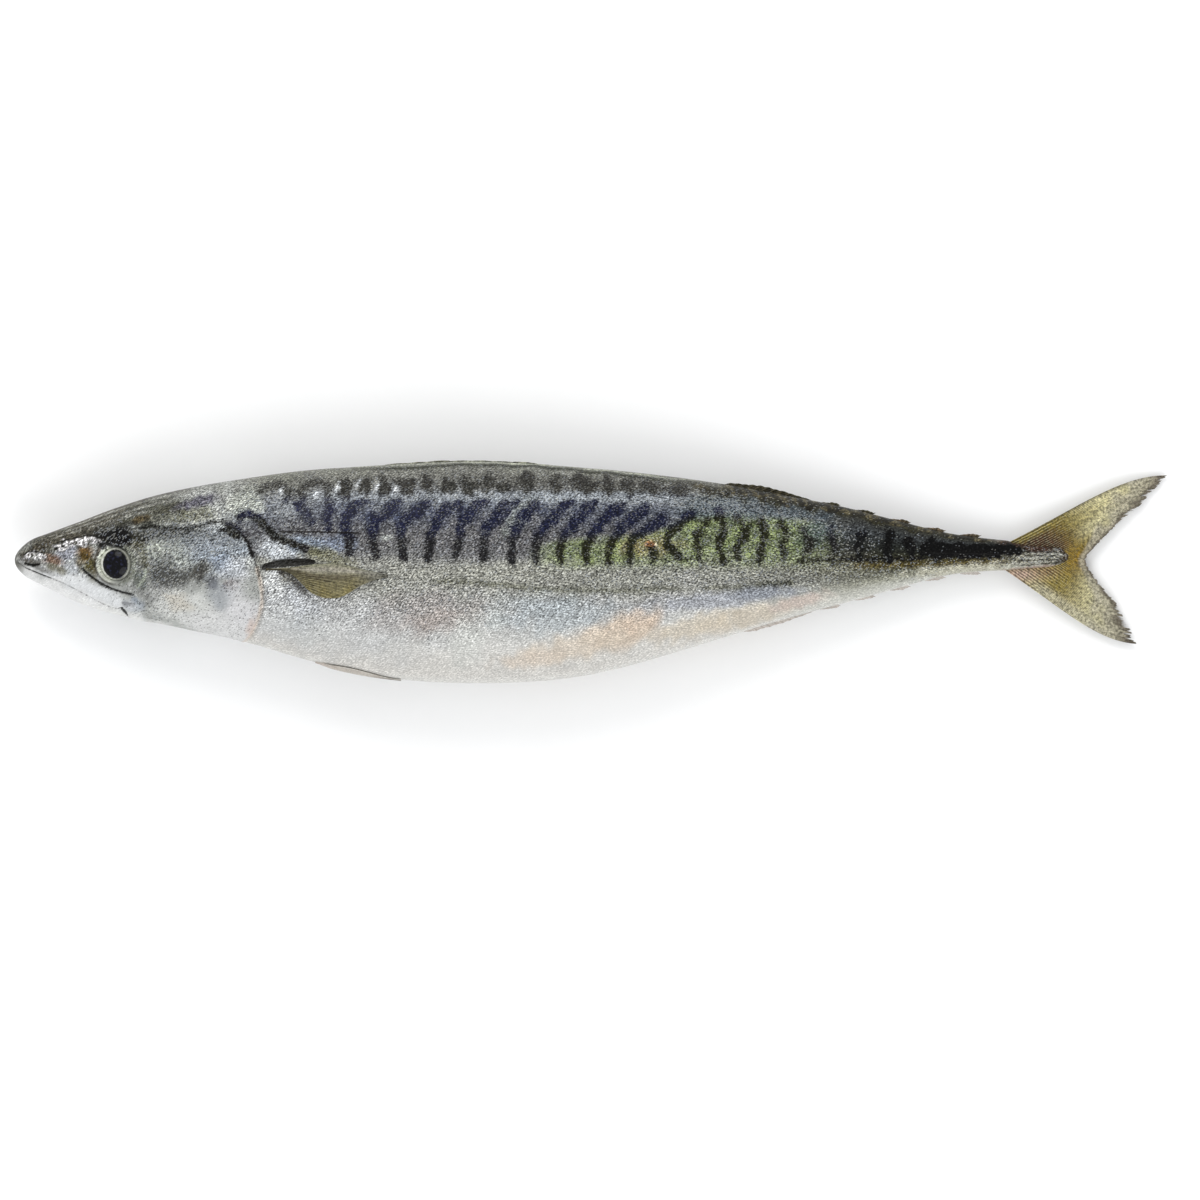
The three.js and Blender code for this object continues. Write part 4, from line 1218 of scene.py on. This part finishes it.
def make_tail():
    u, v = uv_grid(TAIL_RAYS_ACROSS * 8 + 1, 80)
    base, margin = (
        np.stack([curve(np.linspace(0, 1, len(points)), [p[k] for p in points])(u) for k in (0, 1)], axis=-1)
        for points in (TAIL_BASE, TAIL_MARGIN))
    ray = u * TAIL_RAYS_ACROSS
    random = np.random.default_rng(8)
    wear_and_sheen = random.uniform(0, 1, 4 * TAIL_RAYS_ACROSS + 2)[np.round(ray * 4).astype(int)]
    frayed = 0.5 + 0.5 * drift(60 * u, 0 * u, 9, 12)
    gap = 0.5 - 0.5 * np.cos(2 * math.pi * 4 * ray)
    at_tip = between(u, 0, 0.05, 0.95, 1)
    short = (0.012 + 0.035 * wear_and_sheen ** 2 + 0.03 * gap * wear_and_sheen + 0.025 * np.clip(frayed, 0, 1)) * at_tip
    short += 0.012 * (1 - at_tip) * wear_and_sheen
    t = v * (1 - short)
    out = np.stack([base[..., 1] - margin[..., 1], margin[..., 0] - base[..., 0]], axis=-1)
    out /= np.linalg.norm(out, axis=-1, keepdims=True)
    bow = TAIL_BOW * (1 - 2 * u) * t ** 1.2 * (1 - t ** 4)
    flat = base + (margin - base) * t[..., None] + out * bow[..., None]
    height = lift_to_tail(flat[..., 0]) + 0.25 * drift(flat[..., 0], flat[..., 1], 20, 4) * v
    height += 0.2 * smooth(0.24, 0.0, v) * between(u, 0.04, 0.2, 0.8, 0.96)  # over the end of the flesh
    middle = np.concatenate([flat, np.maximum(height, 0.5)[..., None]], axis=-1)
    normal = np.broadcast_to([0.0, 0.0, 1.0], middle.shape)
    ridge, fine, finest = (0.5 + 0.5 * np.cos(2 * math.pi * n * ray) for n in (1, 2, 4))
    ridge = ridge + (fine - ridge) * smooth(0.15, 0.45, v)
    ridge = ridge + (finest - ridge) * smooth(0.5, 0.85, v)
    edge_ray = peak(u, 0.025) + peak(1 - u, 0.025)
    thickness = (1.5 * (1 - np.sqrt(v)) + 0.26) * (0.85 + 0.22 * ridge) + 0.45 * edge_ray * (1 - 0.7 * v)
    s, h = flat[..., 0], flat[..., 1]
    patchy = 0.5 + 0.5 * drift(s, h, 7, 21)
    fork = peak(s - 322.5, 4.4) * peak(h - 0.8, 5.2)
    upper_base = smooth(0.5, 0.14, v) * between(u, 0.02, 0.1, 0.3, 0.46)
    front = smooth(0.03, 0.0, u) * smooth(0.02, 0.2, v)
    pale_front = smooth(0.86, 0.95, u) * between(v, 0.1, 0.3, 0.7, 0.9)
    coats = [
        (0.9 * smooth(0.3, 0.65, v) * smooth(0.42, 0.25, u), (250, 242, 190)),
        (0.9 * smooth(0.35, 0.7, v) * smooth(0.5, 0.68, u), (234, 227, 180)),
        (0.6 * smooth(0.1, 0.02, np.abs(u - 0.12)) * smooth(0.85, 0.3, v), (172, 156, 72)),
        (0.97 * fork, (158, 124, 0)),
        (0.95 * upper_base, (70, 28, 16)),
        (0.9 * peak(s - 305.5, 6.5) * peak(h + 4.4, 2.4), (214, 182, 170)),
        (0.5 * peak(s - 314, 4) * peak(h + 3.4, 1.6), (140, 96, 72)),
        (0.75 * front, (84, 80, 62)),
        (0.7 * pale_front, (224, 219, 192)),
        (0.7 * smooth(0.7, 0.92, v + 0.14 * patchy), (214, 208, 192)),
        (0.8 * smooth(0.93, 1.0, v + 0.05 * patchy), (74, 60, 62)),
        (0.8 * smooth(0.92, 1.0, u) * smooth(0.84, 0.95, v), (60, 46, 50)),
        (0.35 * smooth(341, 349, s), (120, 110, 102)),
    ]
    colour = fin_colours(u.shape, (156, 140, 70), coats)
    make_fin("tail_fin", middle, normal, thickness, ray, v, colour, TAIL_RAYS, 0.8)


make_tail()


# Pectoral fins, folded back along the flank: upper and lower edge in even steps from base to tip
PECTORAL_START, PECTORAL_LENGTH = 76.5, 37.0
PECTORAL_UPPER = [-2.6, -2.3, -1.3, -1.2, -2.9, -4.5]
PECTORAL_LOWER = [-3.2, -4.0, -10.2, -11.2, -7.4, -5.0]


def make_pectoral(side, node):
    u, v = uv_grid(120, 110)
    steps = np.arange(len(PECTORAL_UPPER)) / (len(PECTORAL_UPPER) - 1)
    rays = 14
    random = np.random.default_rng(15)
    wear_and_sheen = random.uniform(0, 1, 2 * rays + 2)[np.round(v * rays * 2).astype(int)]
    ragged = (0.03 * np.cos(4 * math.pi * v * rays) - 0.05 * wear_and_sheen) * smooth(0.55, 1, u)
    at = np.clip(u * (1 + ragged), 0, 1)
    s = PECTORAL_START + PECTORAL_LENGTH * at
    low, high = curve(steps, PECTORAL_LOWER)(u), curve(steps, PECTORAL_UPPER)(u)
    h = low + (high - low) * v
    fan = np.degrees(np.arctan2(h + 2.8, s - PECTORAL_START + 3.0))  # the rays fan out from the root
    ray = 14 + 0.5 * fan
    pleat = 0.5 + 0.5 * np.cos(2 * math.pi * ray)
    upper = smooth(0.55, 0.85, v)
    stands_off = 0.2 + 0.4 * smooth(0.0, 0.25, u) * (1 - 0.6 * smooth(0.7, 1.0, u))
    stands_off += (0.1 + 0.3 * smooth(0.7, 0.5, v)) * pleat * smooth(0, 0.2, u)
    stands_off -= 0.3 * upper * smooth(0.1, 0.4, u)
    middle, normal = off_skin(s, angle_at(s, h), side, stands_off)
    if side == RIGHT:
        middle = np.concatenate([middle[..., :2], np.maximum(middle[..., 2:], 0.3)], axis=-1)
    thickness = (0.5 - 0.25 * u) * (0.75 + 0.4 * pleat)
    mottled = 0.6 + 0.5 * drift(s, h, 4, 23)
    coats = [
        (0.9 * upper * smooth(0.15, 0.4, u), (150, 150, 128)),
        (0.9 * peak(v - 0.82, 0.1) * smooth(0.05, 0.2, u), (186, 180, 166)),
        (0.9 * mottled * smooth(0.55, 0.1, v) * smooth(0.2, 0.4, u), (164, 152, 100)),
        (0.8 * peak(v - 0.6, 0.1) * smooth(0.95, 0.6, u), (98, 90, 72)),
        (0.85 * smooth(0.36, 0.12, u) * smooth(0.8, 0.5, v), (70, 64, 52)),
        (0.85 * smooth(0.68, 0.95, u), (164, 163, 154)),
    ]
    colour = fin_colours(u.shape, (148, 140, 106), coats)
    make_fin(node, middle, normal, thickness, ray, 0.8 * u, colour, OLIVE_RAYS, 1.2)


make_pectoral(LEFT, "left_pectoral_fin")
make_pectoral(RIGHT, "right_pectoral_fin")


def make_pelvic(side, node):
    """A narrow fin lying back along the belly."""
    u, v = uv_grid(70, 26)
    rays = 5
    ray = v * rays
    s = 91.5 + 26.0 * np.clip(u * (1 + 0.05 * np.cos(2 * math.pi * ray) * smooth(0.8, 1, u)) - 0.02, 0, 1)
    width = 0.2 * (0.25 + 0.75 * np.sin(np.pi * np.minimum(1, u * 1.12)))
    angle = -math.pi / 2 + 0.07 + width * v
    pleat = 0.5 + 0.5 * np.cos(2 * math.pi * ray)
    middle, normal = off_skin(s, angle, side, 0.15 + 0.5 * smooth(0, 0.25, u) + 0.2 * pleat)
    thickness = 0.45 * (0.7 + 0.5 * pleat) * (1 - 0.4 * u)
    coats = [(0.6 * smooth(0.4, 0.0, u), (216, 196, 182)), (0.5 * smooth(0.7, 1, u), (206, 202, 194))]
    colour = fin_colours(u.shape, (216, 210, 200), coats)
    make_fin(node, middle, normal, thickness, ray, u, colour, PALE_RAYS)


make_pelvic(LEFT, "left_pelvic_fin")
make_pelvic(RIGHT, "right_pelvic_fin")


def make_median_fin(node, edge, profile, slant, rays, colours, material, seed, detail=(90, 14)):
    """A fin on the middle line, in its CAD node's place. edge is ON_BACK or UNDER_BELLY."""
    points = node_points(node)
    start, end = points[:, 0].min(), points[:, 0].max()
    ridge = back_at if edge == ON_BACK else belly_at
    tall = (np.abs(points[:, 1]) - ridge(points[:, 0])).max()
    u, v = uv_grid(*detail)
    random = np.random.default_rng(seed)
    ray = u * rays
    tips = random.uniform(0.75, 1.05, rays + 2)
    ragged = tips[np.round(ray).astype(int)] * (0.94 + 0.06 * np.cos(2 * math.pi * ray))
    reach = tall * profile(u) * (v * ragged) ** 0.9
    s = start + (end - start) * np.clip(u * (1 - slant) + slant * v * (0.4 + 0.6 * u), 0, 1)
    h = edge * (ridge(s) - 0.9 * (1 - v) + np.maximum(reach, 0) * np.minimum(1, v * 2))
    z = lift_at(s) + 0.12 * np.cos(2 * math.pi * ray) * v + 0.25 * drift(s, h, 9, seed) * v
    middle = np.stack([s, h, z], axis=-1)
    normal = np.broadcast_to([0.0, 0.0, 1.0], middle.shape)
    thickness = (0.9 * (1 - v) + 0.3) * (0.7 + 0.4 * np.cos(2 * math.pi * ray) ** 2)
    base, top = colours
    colour = fin_colours(u.shape, base, [(smooth(0.35, 1.0, v) * (0.7 + 0.4 * drift(s, h, 5, seed)), top)])
    make_fin(node, middle, normal, thickness, ray, 0.5 * v, colour, material)


ON_BACK, UNDER_BELLY = 1, -1
OLIVE_DARK = ((46, 43, 28), (72, 66, 44))
OLIVE_TAN = ((56, 50, 34), (140, 120, 96))
PINK_GREY = ((222, 216, 208), (216, 206, 197))


def arched(u):
    """A fin's height along its base, from front to rear."""
    return 0.75 * np.sin(np.pi * u ** 0.7) ** 0.6


def rising(u):
    """A finlet's height along its base."""
    return (0.25 + 0.6 * u) * np.sin(np.pi * np.clip(u, 0, 0.93)) ** 0.35


make_median_fin("first_dorsal_fin", ON_BACK, lambda u: np.sin(np.pi * u) ** 0.6, 0.12, 11,
                ((60, 60, 46), (190, 192, 170)), DARK_RAYS, 31, (260, 12))
make_median_fin("second_dorsal_fin", ON_BACK, arched, 0.18, 12, OLIVE_DARK, DARK_RAYS, 32)
make_median_fin("anal_fin", UNDER_BELLY, arched, 0.18, 11, PINK_GREY, PALE_RAYS, 33)
for number in range(1, 6):
    make_median_fin(f"dorsal_finlet_{number}", ON_BACK, rising, 0.3, 5,
                    OLIVE_DARK if number < 3 else OLIVE_TAN, DARK_RAYS, 40 + number, (40, 12))
    make_median_fin(f"anal_finlet_{number}", UNDER_BELLY, rising, 0.3, 5,
                    PINK_GREY, PALE_RAYS, 50 + number, (40, 12))


# -------------------- studio

def make_floor():
    """A plain pale table top."""
    size = 3.0
    mesh = bpy.data.meshes.new("floor")
    corners = [(-size, -size, 0), (size, -size, 0), (size, size, 0), (-size, size, 0)]
    mesh.from_pydata(corners, [], [(0, 1, 2, 3)])
    f = Finish("pale_floor", Roughness=0.75)
    where = f.node("NewGeometry")
    tone = f.noise(where, 40.0, 3.0)
    mesh.materials.append(f.use(Base_Color=f.mix(tone, (0.93, 0.93, 0.93), (0.95, 0.95, 0.95))))
    floor = bpy.data.objects.new("floor", mesh)
    bpy.context.scene.collection.objects.link(floor)


def make_light(name, place, size, energy, colour):
    light = bpy.data.lights.new(name, "AREA")
    light.shape = "DISK"
    light.size = size
    light.energy = energy
    light.color = colour
    lamp = bpy.data.objects.new(name, light)
    lamp.location = place
    lamp.rotation_euler = (-Vector(place)).to_track_quat("-Z", "Y").to_euler()
    bpy.context.scene.collection.objects.link(lamp)


VIEW_WIDTH = 364.4  # width of the picture at the silhouette's height
SILHOUETTE_HEIGHT = 18.0
LENS, SENSOR = 900.0, 36.0
VIEW_CENTRE = (2.8, -9.0)


def make_camera():
    camera = bpy.data.cameras.new("camera")
    camera.lens = LENS
    camera.sensor_width = SENSOR
    holder = bpy.data.objects.new("camera", camera)
    distance = VIEW_WIDTH * LENS / SENSOR + SILHOUETTE_HEIGHT
    holder.location = (VIEW_CENTRE[0] * MM, VIEW_CENTRE[1] * MM, distance * MM)
    bpy.context.scene.collection.objects.link(holder)
    bpy.context.scene.camera = holder


make_floor()
make_light("key", (-0.3, 1.05, 1.0), 0.9, 8.0, (1.0, 0.99, 0.97))
make_light("fill", (0.3, -1.05, 1.0), 1.2, 8.0, (0.98, 0.99, 1.0))
make_camera()
world = bpy.data.worlds.new("studio")
world.use_nodes = True
world.node_tree.nodes["Background"].inputs["Color"].default_value = (0.98, 0.99, 1.0, 1)
world.node_tree.nodes["Background"].inputs["Strength"].default_value = 0.85
bpy.context.scene.world = world
bpy.context.scene.view_settings.view_transform = "Standard"
